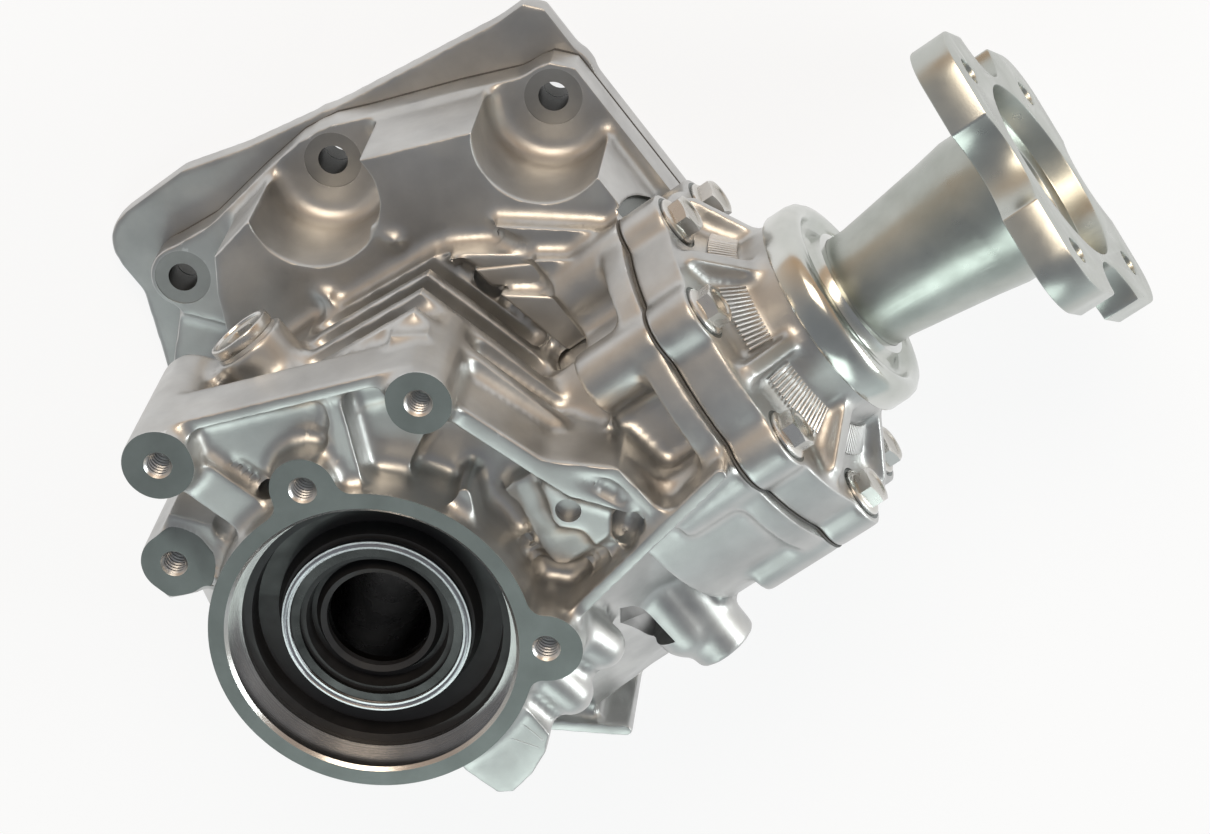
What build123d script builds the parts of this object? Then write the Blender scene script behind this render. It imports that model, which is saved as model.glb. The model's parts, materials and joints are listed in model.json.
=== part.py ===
from build123d import *
import math
import os

os.makedirs("parts", exist_ok=True)

# Power transfer unit of a cross-engined all-wheel-drive car.
# Origin: on the input axis, in the plane of the rear mounting face.
# Z runs up the input axis to the open front bore, X runs out along the pinion axis to the flange.

# Driving dimensions, millimetres
case_height = 164.0
pinion_y = -20.0
pinion_z = 76.0
flange_face_x = 269.5
ring_teeth = 27
pinion_teeth = 11

# Fits and clearances
run_gap = 0.05
seat_gap = 0.02
air_gap = 0.4
gasket_thickness = 0.5

# Rear cover and mounting face
cover_thickness = 10.0
case_base = cover_thickness + gasket_thickness
cover_hub_r = 47.0
cover_hub_top = 24.5
mount_hole_r = 5.5
pad_lobe_r = 12.5
pad_z = 26.0
mount_top_left = (-26.0, 115.0)
mount_top_mid = (50.0, 118.0)
mount_top_right = (131.0, 90.0)
mount_bottom = (-60.0, -100.0)
mount_left = (-100.0, -14.0)
mount_points = [mount_top_left, mount_top_mid, mount_top_right, mount_bottom, mount_left]
tool_clear_r = 24.0
cover_screw_circle_r = 91.0
cover_screw_angles = [30.0, 62.0, 126.0, 160.0, 212.0, 248.0, 300.0]
cover_screw_r = 3.0
cover_screw_head_r = 6.0
cover_screw_head = 4.0
cover_screw_reach = 12.0
cover_screw_sink = 1.0
cover_lobe = (-34.0, 130.0)
cover_lobe_r = 15.0
dowel_places = [(106.0, 98.0), (-58.0, -69.0)]
dowel_r = 4.0
dowel_base = 3.0
dowel_top = 19.0
socket_r = 2.6
socket_depth = 2.0
face_ring_r = 36.5
face_ring_section = 2.5

# Main case barrel about the input axis
barrel_r = 87.0
barrel_top = 68.0
neck_r = 57.0
neck_base = case_height - 24.0
gear_room_r = 79.0
gear_room_top = 60.0
flange_ring_r = 97.0
flange_ring_top = 22.0

# Front bore
rim_r = 50.0
rim_depth = 10.5
rim_chamfer = 1.2

# Front threaded bosses
tap_r = 4.25
tap_depth = 24.0
tap_chamfer = 1.4
boss_end = (-17.0, 94.0)
boss_top = (17.6, 58.5)
boss_right = (48.4, -36.2)
boss_mid = (70.0, 61.0)
boss_left = (-49.0, 56.0)
boss_left_top = case_height - 24.0
boss_end_foot = case_height - 66.0
boss_mid_foot = case_height - 54.0
boss_left_foot = case_height - 80.0
boss_end_r = 12.7
boss_top_r = 11.7
boss_right_r = 12.8
boss_mid_r = 11.5
boss_left_r = 12.0
low_block_top = case_height - 10.0
low_block_foot = case_height - 46.0

# Front pocket between the beam and the web
beam_thickness = 7.0
beam_base = case_height - 26.0
wall_base = case_height - 46.0
wall_top = case_height - 8.0
web_thickness = 5.0
pocket_floor = case_height - 28.0
pocket_floor_thickness = 6.0
pocket_rib_top = case_height - 6.0
pocket_pad = (77.0, -7.0)
pocket_pad_r = 11.0
pocket_pad_top = case_height - 14.0
rib_thickness = 5.0
web_end = (134.0, -20.0)
wall_corner = (86.0, 14.0)
wall_end = (100.0, -24.0)

# Cooling fins
fin_left_x = 28.0
fin_corner = (76.0, 79.0)
fin_right = (93.0, 16.0)
fin_height = 12.0
fin_thickness = 6.0
fin_levels = [75.0, 92.0, 109.0, 126.0]
upper_step_z = 86.0
lower_step_z = 92.0
thin_rib_z = 79.0

# Pinion side of the case
drum_r = 66.0
sleeve_r = 52.0
sleeve_nose_r = 40.0
collar_r = 70.0
collar_width = 9.0
joint_x = 137.0
sleeve_start_x = 44.0
sleeve_full_x = 68.0
drum_start_x = 90.0
bolt_boss_length = 30.0
pilot_r = 46.0
pinion_room_x = 40.0
pinion_room_start_r = 31.0
pinion_room_end_r = 38.0
pilot_pocket_x = 73.5

# Pinion housing
housing_flange_width = 16.5
housing_x = joint_x + gasket_thickness
bolt_seat_x = housing_x + housing_flange_width
housing_neck_r = 38.0
housing_end_x = 181.0
housing_bolt_circle_r = 60.5
housing_bolt_angles = [-38.0, 5.0, 49.0, 98.0, 147.0, 194.0, 238.0]
housing_lobe_r = 12.0
housing_bolt_r = 4.0
housing_bolt_reach = 34.0
housing_bolt_head = 7.0
housing_bolt_flat = 13.0
bolt_washer_r = 9.0
bolt_washer = 1.6
bolt_hole_play = 0.3
housing_cone_r = 50.0
housing_cone_end_x = bolt_seat_x + 9
housing_rib_angles = [-16.0, 27.0, 73.5, 122.5, 170.5, 216.0, 280.0]
housing_rib_r = 62.0
housing_rib_thickness = 5.0
ring_groove_x = 118.0
ring_section = 3.0

# Filler and drain
plug_x = 12.0
plug_z = 106.0
plug_face_y = 98.0
plug_thread_r = 9.0
plug_flange_r = 12.0
plug_flange = 4.0
washer_thickness = 1.5
plug_reach = 12.0
plug_hole_depth = 50.0
plug_boss_r = 14.0
plug_boss_depth = 40.0
plug_rim = 2.0
plug_dish = 1.0
key_flat = 10.0
key_depth = 7.0
drain_x = 74.0
drain_z = 94.0
drain_face_y = -98.0
drain_sink = 7.0
drain_boss_r = 12.5
drain_boss_depth = 50.0
drain_thread_r = 7.0
drain_way_r = 4.5
drain_depth = 48.0
gusset_top = 64.0
drain_flange_r = 9.5
drain_flange = 3.0
drain_flat = 8.0

# Input shaft
shaft_bore_r = 18.0
shaft_journal_r = 30.0
shaft_rear_r = 25.0
shaft_bottom = 1.0
spline_teeth = 24
spline_root_r = 17.2
spline_tip_r = 15.6
spline_width = 2.2
spline_length = 36.0

# Input shaft bearings and seals
front_cup_r = 47.5
front_bearing_base = case_height - 52.0
front_bearing_width = 23.0
rear_cup_r = 40.0
rear_bearing_base = 6.0
rear_bearing_width = 18.5
seal_r = 47.0
front_seal_base = case_height - 25.5
front_seal_width = 12.0
cup_shoulder_r = 43.0
rear_shoulder_r = 31.0
front_shoulder_r = 34.0
rear_seal_r = 34.0
rollers_each = 14
race_slope = 0.18
roller_share = 0.21
roller_reach_share = 0.33
thrust_rib = 2.0
thrust_rib_share = 0.45
cage_thickness = 1.6
cage_lip = 1.2
bearing_shim = 1.0
slinger_r = 33.6
slinger_rise = 1.0
axle_seal_r = 27.0
axle_seal_base = case_height - 23.0
axle_seal_width = 9.0
axle_lip_play = 0.3
shaft_top = axle_seal_base + axle_seal_width + 2.0
slinger_top = shaft_top + slinger_rise

# Ring gear
gear_flange_base = 26.0
gear_flange_r = 70.0
gear_back = 32.0
gear_bore_r = 49.0
gear_outer_r = 73.0
gear_mean_r = 62.0
gear_bolt_circle_r = 60.0
gear_bolts = 10
gear_bolt_r = 4.0
gear_bolt_head = 4.0
gear_bolt_head_r = 6.0
gear_bolt_tip = 43.0
pressure_slope = 0.364
backlash = 0.6
mesh_range = 0.35
mesh_steps = 35
pinion_steps = 4
root_width_share = 0.56
tooth_rise = 3.2
tooth_fall = 4.4

# Pinion bearings
head_bearing_x = 74.0
head_bearing_width = 24.0
head_cup_r = 36.0
head_journal_r = 17.5
tail_bearing_x = 141.0
tail_bearing_width = 19.0
tail_cup_r = 31.0
tail_journal_r = 15.0
housing_way_r = 31.0
tail_shoulder_r = 27.0
pinion_shim = 2.0
pinion_head_x = 47.0
pinion_tip_rise = 3.5
pinion_root_fall = 4.0
shim_r = 24.0

# Companion flange
hub_journal_r = 22.0
flange_thickness = 14.0
flange_hole_r = 4.8
flange_hole_half = 35.6
flange_length = 104.0
flange_width = 101.0
flange_corner_r = 17.0
flange_notch_end = 43.0
flange_notch_end_r = 22.0
flange_notch_side = 38.0
flange_notch_side_r = 17.0
flange_turn = -30.3
hub_flare_r = 28.5
recess_r = 34.5
recess_depth = 9.0
nut_bay_r = 23.0
pinion_seal_x = 168.0
pinion_seal_width = 10.0
pinion_seal_r = 33.0
stud_r = 12.0
nut_width = 36.0
nut_height = 13.0
nut_x = 238.0
stud_end_x = 256.0
shield_x = 181.8
shield_r = 36.5
shield_length = 9.0
shield_thickness = 1.5

front_z = case_height
pinion_axis = Axis((0, pinion_y, pinion_z), (1, 0, 0))


def across(x):
    """Plane across the pinion axis at x: first axis along +Y, second along +Z."""
    return Plane(origin=(x, pinion_y, pinion_z), x_dir=(0, 1, 0), z_dir=(1, 0, 0))


def along():
    """Plane through the pinion axis, with points given as (x, radius)."""
    return Plane(origin=(0, pinion_y, pinion_z), x_dir=(1, 0, 0), z_dir=(0, -1, 0))


def turned(points, mode=Mode.ADD):
    """Turn a profile of (radius, z) points about the input axis."""
    with BuildSketch(Plane.XZ) as profile:
        with BuildLine():
            Polyline(*points, close=True)
        make_face()
    revolve(profile.sketch, axis=Axis.Z, mode=mode)


def turned_on_pinion(points, mode=Mode.ADD):
    """Turn a profile of (x, radius) points about the pinion axis."""
    with BuildSketch(along()) as profile:
        with BuildLine():
            Polyline(*points, close=True)
        make_face()
    revolve(profile.sketch, axis=pinion_axis, mode=mode)


def post(centre, radius, z0, z1, mode=Mode.ADD):
    """Upright cylinder from z0 to z1."""
    with BuildSketch(Plane.XY.offset(z0)) as profile:
        with Locations(centre):
            Circle(radius)
    extrude(profile.sketch, amount=z1 - z0, mode=mode)


def slab(points, z0, z1, mode=Mode.ADD):
    """Upright prism of a polygon from z0 to z1."""
    with BuildSketch(Plane.XY.offset(z0)) as profile:
        with BuildLine():
            Polyline(*points, close=True)
        make_face()
    extrude(profile.sketch, amount=z1 - z0, mode=mode)


def bar(start, end, thickness, z0, z1, mode=Mode.ADD):
    """Upright wall with round ends between two points."""
    length = math.dist(start, end)
    middle = ((start[0] + end[0]) / 2, (start[1] + end[1]) / 2)
    angle = math.degrees(math.atan2(end[1] - start[1], end[0] - start[0]))
    with BuildSketch(Plane.XY.offset(z0)) as profile:
        with Locations(Location((*middle, 0), (0, 0, angle))):
            SlotCenterToCenter(length, thickness)
    extrude(profile.sketch, amount=z1 - z0, mode=mode)


def pinion_disc(radius, x0, x1, mode=Mode.ADD):
    """Cylinder on the pinion axis from x0 to x1."""
    with BuildSketch(across(x0)) as profile:
        Circle(radius)
    extrude(profile.sketch, amount=x1 - x0, mode=mode)


def polar_place(radius, angle):
    """Point at a radius and an angle in degrees."""
    turn = math.radians(angle)
    return (radius * math.cos(turn), radius * math.sin(turn))


def below_base():
    """Sketch cut that keeps a flange on the pinion axis clear of the rear cover."""
    with Locations((0, case_base - pinion_z)):
        Rectangle(
            4 * drum_r, 2 * drum_r, align=(Align.CENTER, Align.MAX), mode=Mode.SUBTRACT
        )


def lobed_flange(radius, x0, x1):
    """Round flange on the pinion axis with a lobe at each housing bolt, cut off at the case base."""
    with BuildSketch(across(x0)) as profile:
        Circle(radius)
        with Locations(*housing_bolt_places):
            Circle(housing_lobe_r)
        below_base()
    extrude(profile.sketch, amount=x1 - x0)


def half_drum(radius, x0, x1):
    """Drum on the pinion axis, only on the side away from the upper lugs, cut off at the case base."""
    with BuildSketch(across(x0)) as profile:
        Circle(radius)
        Rectangle(
            2 * radius, 4 * radius, align=(Align.MIN, Align.CENTER), mode=Mode.SUBTRACT
        )
        below_base()
    extrude(profile.sketch, amount=x1 - x0)


def bolt_bosses(x0, x1):
    """Long bosses behind the housing bolts, cut off at the case base."""
    with BuildSketch(across(x0)) as profile:
        with Locations(*housing_bolt_places):
            Circle(housing_lobe_r)
        below_base()
    extrude(profile.sketch, amount=x1 - x0)


def bolt_circle_discs(radius, x0, x1, mode=Mode.ADD):
    """Equal cylinders at the housing bolts from x0 to x1."""
    with BuildSketch(across(x0)) as profile:
        with Locations(*housing_bolt_places):
            Circle(radius)
    extrude(profile.sketch, amount=x1 - x0, mode=mode)


def tapped_hole(centre, radius, top, depth):
    """Tap drill hole with a chamfered mouth."""
    post(centre, radius, top - depth, top, mode=Mode.SUBTRACT)
    with BuildSketch(Plane.XY.offset(top)) as mouth:
        with Locations(centre):
            Circle(radius + tap_chamfer)
    extrude(mouth.sketch, amount=-tap_chamfer, taper=44, mode=Mode.SUBTRACT)


def plug_plane(x, y, z, out):
    """Plane on a plug face, with its normal along the plug axis into the case."""
    return Plane(origin=(x, y, z), x_dir=(1, 0, 0), z_dir=(0, -out, 0))


def disc_on(plane, radius, start, end, mode=Mode.ADD):
    """Cylinder between two depths on the axis of a plane."""
    with BuildSketch(plane.offset(start)) as profile:
        Circle(radius)
    extrude(profile.sketch, amount=end - start, mode=mode)


def bearing(inner_r, outer_r, start, width, slope):
    """Section of a tapered roller bearing: outlines as (radius, place on the axis), and the rollers."""
    middle_r = (inner_r + outer_r) / 2
    middle = start + width / 2
    roller_r = roller_share * (outer_r - inner_r)
    half_length = roller_reach_share * width
    lean = math.hypot(1, slope)
    reach = (roller_r + run_gap) * lean
    small = start if slope > 0 else start + width
    large = start + width if slope > 0 else start
    rib_at = large - math.copysign(thrust_rib, slope)
    cage_reach = half_length + cage_lip

    def line(place, offset):
        return middle_r + slope * (place - middle) + offset

    rib_top = line(rib_at, -reach) + thrust_rib_share * roller_r
    return {
        "cup": [
            (outer_r - seat_gap, small), (outer_r - seat_gap, large),
            (line(large, reach), large), (line(small, reach), small),
        ],
        "cone": [
            (inner_r + seat_gap, small), (line(small, -reach), small),
            (line(rib_at, -reach), rib_at), (rib_top, rib_at), (rib_top, large),
            (inner_r + seat_gap, large),
        ],
        "cage": [
            (line(middle - cage_reach, cage_thickness / 2), middle - cage_reach),
            (line(middle + cage_reach, cage_thickness / 2), middle + cage_reach),
            (line(middle + cage_reach, -cage_thickness / 2), middle + cage_reach),
            (line(middle - cage_reach, -cage_thickness / 2), middle - cage_reach),
        ],
        "roller": (roller_r, 2 * half_length / lean),
        "place": Location((middle_r, 0, middle), (0, math.degrees(math.atan(slope)), 0)),
    }


def place_rollers(data, frame):
    """Set the rollers of a bearing round the axis of a frame."""
    radius, length = data["roller"]
    for index in range(rollers_each):
        turn = Location((0, 0, 0), (0, 0, 360 * index / rollers_each))
        with Locations(frame * turn * data["place"]):
            Cylinder(radius, length)


def swapped(points):
    """Exchange radius and axial place."""
    return [(b, a) for a, b in points]


def finish_part(builder, name):
    """Label a finished piece and write it out."""
    builder.part.label = name
    export_step(builder.part, "parts/" + name + ".step")


cover_screw_places = [polar_place(cover_screw_circle_r, angle) for angle in cover_screw_angles]
housing_bolt_places = [polar_place(housing_bolt_circle_r, angle) for angle in housing_bolt_angles]
filler = plug_plane(plug_x, plug_face_y, plug_z, 1)
drain = plug_plane(drain_x, drain_face_y, drain_z, -1)
front_bearing = bearing(
    shaft_journal_r, front_cup_r, front_bearing_base, front_bearing_width - bearing_shim, -race_slope
)
rear_bearing = bearing(shaft_rear_r, rear_cup_r, rear_bearing_base, rear_bearing_width, race_slope)
head_bearing = bearing(head_journal_r, head_cup_r, head_bearing_x, head_bearing_width, -race_slope)
tail_bearing = bearing(tail_journal_r, tail_cup_r, tail_bearing_x, tail_bearing_width, race_slope)

# Outlines seen along the input axis
foot_points = [
    (-26, 127), (-4, 125), (24, 129), (44, 131), (58, 129), (70, 124), (103, 112),
    (125, 103), (138, 101), (144, 94), (144, 10), (joint_x, -60), (100, -90), (56, -100),
    (30, -117), (-18, -120), (-56, -112), (-72, -96), (-88, -30), (-90, 30), (-60, 84), (-36, 106),
]
upper_points = [
    (-36, 104), (-26, 127), (-4, 125), (24, 129), (44, 131), (58, 129), (70, 124), (103, 112),
    (125, 103), (138, 101), (144, 94), (144, 30), (60, 20), (0, 60),
]
near_points = [
    (-14, 60), (-8, 96), (0, 112), (8, 123), (24, 126), (44, 130), (58, 128),
    (72, 122), (108, 108), (130, 100), (139, 90), (139, 40), (110, 10), (30, 40),
]
near_top = 71.0
cover_points = [
    (-34, 145), (-5, 145), (20, 138), (62, 130), (128, 121), (139, 121), (144, 115),
    (144, 10), (joint_x, -60), (100, -93), (56, -104), (31, -121), (-18, -124), (-58, -116),
    (-76, -98), (-92, -30), (-94, 30), (-62, 88), (-49, 117), (-49, 130),
]
shoulder_points = [
    (-6, 40), (-6, 84), (fin_left_x - 4, 84), (fin_left_x + 4, 72), (66, 68), (82, 16), (40, 0),
]
upper_step_points = [(82, 77), (118, 51), (128, 46), (128, 30), (96, 26), (89, 60)]
lower_step_points = [(89, 60), (123, 33), (128, 30), (128, 8), (96, 22)]
thin_rib_points = [(100, 76), (128, 54), (128, 49), (108, 61)]
sump_points = [(-6, -80), (4, -100), (14, -103), (42, -103), (38, -96), (43, -70), (20, -60)]
sump_top = 60.0
low_block_points = [
    (-10, -62), (-6, -76), (-1, -79), (9, -77), (18, -73), (24, -68), (24, -48), (-6, -48),
]

# Main case: barrel, foot, pinion drum, front face, beam, pocket, fins and bosses in one casting
with BuildPart() as main_case:
    turned([
        (0, case_base), (barrel_r, case_base), (barrel_r, barrel_top), (neck_r, neck_base),
        (neck_r, front_z), (0, front_z),
    ])
    slab(foot_points, case_base, flange_ring_top)
    post((0, 0), flange_ring_r, case_base, flange_ring_top)
    slab(upper_points, case_base, pad_z)
    for point in mount_points:
        post(point, pad_lobe_r, case_base, pad_z)
    slab(near_points, pad_z, near_top)
    turned_on_pinion([
        (sleeve_start_x, 0), (sleeve_start_x, sleeve_nose_r), (sleeve_full_x, sleeve_r),
        (joint_x, sleeve_r), (joint_x, 0),
    ])
    half_drum(drum_r, drum_start_x, joint_x - collar_width)
    lobed_flange(collar_r, joint_x - collar_width, joint_x)
    bolt_bosses(joint_x - bolt_boss_length, joint_x)
    slab(shoulder_points, barrel_top, pocket_floor - rib_thickness)
    slab(sump_points, case_base, sump_top)

    # Front face lobes and the bosses behind them
    post(boss_end, boss_end_r, boss_end_foot, front_z)
    post(boss_top, boss_top_r, barrel_top, front_z)
    post(boss_right, boss_right_r, barrel_top, front_z)
    post(boss_mid, boss_mid_r, boss_mid_foot, front_z)
    post(boss_left, boss_left_r, boss_left_foot, boss_left_top)
    bar(boss_left, (-30, 34), boss_left_r + 4, boss_left_foot, boss_left_top - 2)
    bar(boss_end, (-8, 62), boss_end_r + 2, boss_end_foot, wall_top)
    slab(low_block_points, low_block_foot, low_block_top)

    # Beam, web, floor and ribs of the front pocket
    bar(boss_end, boss_mid, beam_thickness, beam_base, front_z)
    bar(boss_mid, wall_corner, beam_thickness, wall_base, wall_top)
    bar(wall_corner, wall_end, beam_thickness, wall_base, wall_top)
    bar(boss_right, web_end, web_thickness, wall_base, pocket_rib_top)
    slab([boss_end, boss_mid, wall_corner, wall_end, boss_right, (20, 0), (0, 50)],
         pocket_floor - pocket_floor_thickness, pocket_floor)
    bar((40, 72), (22, 42), rib_thickness, pocket_floor, pocket_rib_top)
    bar((59, 24), (44, -6), rib_thickness, pocket_floor, pocket_rib_top)
    bar(pocket_pad, wall_end, rib_thickness, pocket_floor, pocket_pad_top + 2)
    post(pocket_pad, pocket_pad_r, pocket_floor, pocket_pad_top)

    # Cooling fins round the upper corner of the case
    for level in fin_levels:
        slab([
            (fin_left_x, 60), (fin_left_x, fin_corner[1] + 4), fin_corner, fin_right, (70, 10),
        ], level - fin_thickness / 2, level + fin_thickness / 2)
    slab([(63, 66), (67, 79), (78, 72), (74, 60)], fin_levels[-1], beam_base)

    # Stepped ribs from the fins across to the pinion joint
    slab(upper_step_points, near_top, upper_step_z)
    slab(lower_step_points, near_top, lower_step_z)
    slab(thin_rib_points, near_top, thin_rib_z)

    # Filler boss on top, drain boss below, gusset down to the bottom lug
    disc_on(filler, plug_boss_r, 0, plug_boss_depth)
    disc_on(drain, drain_boss_r, 0, drain_boss_depth)
    bar((-25, -91), (9, -119), web_thickness, case_base, gusset_top)

    # Tool clearance over the upper mounting pads
    for point in (mount_top_mid, mount_top_right):
        post(point, tool_clear_r, pad_z, front_z, mode=Mode.SUBTRACT)

    # Clear space for the flange of the pinion housing
    pinion_disc(housing_bolt_circle_r + housing_lobe_r + 1.5, joint_x, joint_x + 20, mode=Mode.SUBTRACT)

    # Room for the gears, bearing seat, seal seat and open bore
    turned([
        (0, case_base), (gear_room_r, case_base), (gear_room_r, gear_room_top),
        (front_cup_r + 2, front_bearing_base - 2), (front_cup_r, front_bearing_base),
        (front_cup_r, front_bearing_base + front_bearing_width),
        (cup_shoulder_r, front_bearing_base + front_bearing_width),
        (cup_shoulder_r, front_seal_base), (seal_r, front_seal_base),
        (seal_r, front_z - rim_depth), (rim_r, front_z - rim_depth),
        (rim_r, front_z - rim_chamfer), (rim_r + rim_chamfer, front_z), (0, front_z),
    ], mode=Mode.SUBTRACT)
    turned_on_pinion([
        (pinion_room_x, 0), (pinion_room_x, pinion_room_start_r), (pilot_pocket_x, pinion_room_end_r),
        (pilot_pocket_x, pilot_r + seat_gap), (joint_x, pilot_r + seat_gap), (joint_x, 0),
    ], mode=Mode.SUBTRACT)

    # Holes
    for point in (boss_end, boss_top, boss_right, boss_mid):
        tapped_hole(point, tap_r, front_z, tap_depth)
    tapped_hole(boss_left, tap_r, boss_left_top, tap_depth)
    for point in mount_points:
        post(point, mount_hole_r, case_base, pad_z, mode=Mode.SUBTRACT)
    for point in cover_screw_places:
        post(point, cover_screw_r, case_base, case_base + cover_screw_reach, mode=Mode.SUBTRACT)
    for point in dowel_places:
        post(point, dowel_r, case_base, dowel_top, mode=Mode.SUBTRACT)
    bolt_circle_discs(
        housing_bolt_r, joint_x, bolt_seat_x - housing_bolt_reach - 2, mode=Mode.SUBTRACT
    )
    disc_on(filler, plug_thread_r, 0, plug_hole_depth, mode=Mode.SUBTRACT)
    disc_on(drain, drain_flange_r + air_gap, 0, drain_sink, mode=Mode.SUBTRACT)
    disc_on(drain, drain_thread_r, drain_sink, drain_sink + plug_reach + 2, mode=Mode.SUBTRACT)
    disc_on(drain, drain_way_r, drain_sink, drain_depth, mode=Mode.SUBTRACT)
finish_part(main_case, "main_case")

# Rear cover: closes the case and carries the rear bearing of the input shaft
with BuildPart() as rear_cover:
    slab(cover_points, 0, cover_thickness)
    post((0, 0), flange_ring_r + 1, 0, cover_thickness)
    for point in mount_points:
        post(point, pad_lobe_r + 2, 0, cover_thickness)
    post(cover_lobe, cover_lobe_r, 0, cover_thickness)
    post((0, 0), cover_hub_r, cover_thickness, cover_hub_top)
    turned([
        (0, 0), (rear_seal_r, 0), (rear_seal_r, rear_bearing_base), (rear_cup_r, rear_bearing_base),
        (rear_cup_r, cover_hub_top), (0, cover_hub_top),
    ], mode=Mode.SUBTRACT)
    turned([
        (face_ring_r, 0), (face_ring_r, face_ring_section), (face_ring_r + face_ring_section, face_ring_section),
        (face_ring_r + face_ring_section, 0),
    ], mode=Mode.SUBTRACT)
    for point in mount_points:
        post(point, mount_hole_r, 0, cover_thickness, mode=Mode.SUBTRACT)
    for point in cover_screw_places:
        post(point, cover_screw_r + bolt_hole_play, 0, cover_thickness, mode=Mode.SUBTRACT)
        post(point, cover_screw_head_r + bolt_hole_play, 0, cover_screw_sink + cover_screw_head,
             mode=Mode.SUBTRACT)
    for point in dowel_places:
        post(point, dowel_r, dowel_base, cover_thickness, mode=Mode.SUBTRACT)
finish_part(rear_cover, "rear_cover")

# Gasket between rear cover and case
with BuildPart() as cover_gasket:
    slab(foot_points, cover_thickness, case_base)
    post((0, 0), flange_ring_r, cover_thickness, case_base)
    post((0, 0), gear_room_r, cover_thickness, case_base, mode=Mode.SUBTRACT)
    for point in mount_points:
        post(point, mount_hole_r + 1, cover_thickness, case_base, mode=Mode.SUBTRACT)
    for point in cover_screw_places:
        post(point, cover_screw_r + bolt_hole_play, cover_thickness, case_base, mode=Mode.SUBTRACT)
    for point in dowel_places:
        post(point, dowel_r + bolt_hole_play, cover_thickness, case_base, mode=Mode.SUBTRACT)
finish_part(cover_gasket, "cover_gasket")

# Socket screws let into the mounting face of the rear cover
with BuildPart() as cover_screws:
    for point in cover_screw_places:
        post(point, cover_screw_head_r, cover_screw_sink, cover_screw_sink + cover_screw_head)
        post(point, cover_screw_r - seat_gap, cover_screw_sink, case_base + cover_screw_reach - 1)
        post(point, socket_r, cover_screw_sink, cover_screw_sink + socket_depth, mode=Mode.SUBTRACT)
finish_part(cover_screws, "cover_screws")

# Dowel pins that line up cover and case
with BuildPart() as dowel_pins:
    for point in dowel_places:
        post(point, dowel_r - seat_gap, dowel_base, dowel_top)
finish_part(dowel_pins, "dowel_pins")

# Sealing ring in the mounting face
with BuildPart() as face_ring:
    turned([
        (face_ring_r + seat_gap, seat_gap), (face_ring_r + seat_gap, face_ring_section),
        (face_ring_r + face_ring_section - seat_gap, face_ring_section),
        (face_ring_r + face_ring_section - seat_gap, seat_gap),
    ])
finish_part(face_ring, "face_ring")

# Pinion housing: pilot, lobed flange, cone, neck and ribs
head_seat_x = head_bearing_x + head_bearing_width
tail_seat_x = tail_bearing_x + tail_bearing_width
with BuildPart() as pinion_housing:
    turned_on_pinion([
        (head_bearing_x, 0), (head_bearing_x, pilot_r), (housing_x, pilot_r),
        (housing_x, housing_cone_r), (bolt_seat_x, housing_cone_r),
        (housing_cone_end_x, housing_neck_r), (housing_end_x, housing_neck_r), (housing_end_x, 0),
    ])
    lobed_flange(drum_r, housing_x, bolt_seat_x)
    for angle in housing_rib_angles:
        turn = math.radians(angle)
        rib_plane = Plane(
            origin=(bolt_seat_x, pinion_y, pinion_z), x_dir=(1, 0, 0),
            z_dir=(0, -math.sin(turn), math.cos(turn)),
        )
        with BuildSketch(rib_plane) as rib:
            with BuildLine():
                Polyline(
                    (-1, housing_neck_r - 2), (-1, housing_rib_r), (2, housing_rib_r),
                    (16, housing_neck_r), (16, housing_neck_r - 2), close=True,
                )
            make_face()
        extrude(rib.sketch, amount=housing_rib_thickness / 2, both=True)
    turned_on_pinion([
        (head_bearing_x, 0), (head_bearing_x, head_cup_r), (head_seat_x, head_cup_r),
        (head_seat_x, housing_way_r), (tail_bearing_x - 5, tail_shoulder_r),
        (tail_bearing_x, tail_shoulder_r), (tail_bearing_x, tail_cup_r), (tail_seat_x, tail_cup_r),
        (tail_seat_x, pinion_seal_r), (housing_end_x, pinion_seal_r), (housing_end_x, 0),
    ], mode=Mode.SUBTRACT)
    turned_on_pinion([
        (ring_groove_x, pilot_r - ring_section), (ring_groove_x + ring_section, pilot_r - ring_section),
        (ring_groove_x + ring_section, pilot_r), (ring_groove_x, pilot_r),
    ], mode=Mode.SUBTRACT)
    bolt_circle_discs(housing_bolt_r + bolt_hole_play, housing_x, bolt_seat_x, mode=Mode.SUBTRACT)
finish_part(pinion_housing, "pinion_housing")

# Sealing ring of the pinion housing pilot
with BuildPart() as pilot_ring:
    turned_on_pinion([
        (ring_groove_x + seat_gap, pilot_r - ring_section + seat_gap),
        (ring_groove_x + ring_section - seat_gap, pilot_r - ring_section + seat_gap),
        (ring_groove_x + ring_section - seat_gap, pilot_r), (ring_groove_x + seat_gap, pilot_r),
    ])
finish_part(pilot_ring, "pilot_ring")

# Gasket of the pinion housing
with BuildPart() as housing_gasket:
    lobed_flange(drum_r, joint_x, housing_x)
    pinion_disc(pilot_r + seat_gap, joint_x, housing_x, mode=Mode.SUBTRACT)
    bolt_circle_discs(housing_bolt_r + bolt_hole_play, joint_x, housing_x, mode=Mode.SUBTRACT)
finish_part(housing_gasket, "housing_gasket")

# Flange bolts of the pinion housing
with BuildPart() as housing_bolts:
    bolt_circle_discs(bolt_washer_r, bolt_seat_x, bolt_seat_x + bolt_washer)
    with BuildSketch(across(bolt_seat_x + bolt_washer)) as heads:
        with Locations(*housing_bolt_places):
            RegularPolygon(housing_bolt_flat / 2, 6, major_radius=False)
    extrude(heads.sketch, amount=housing_bolt_head - bolt_washer)
    bolt_circle_discs(housing_bolt_r - seat_gap, bolt_seat_x - housing_bolt_reach, bolt_seat_x)
finish_part(housing_bolts, "housing_bolts")

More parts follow.
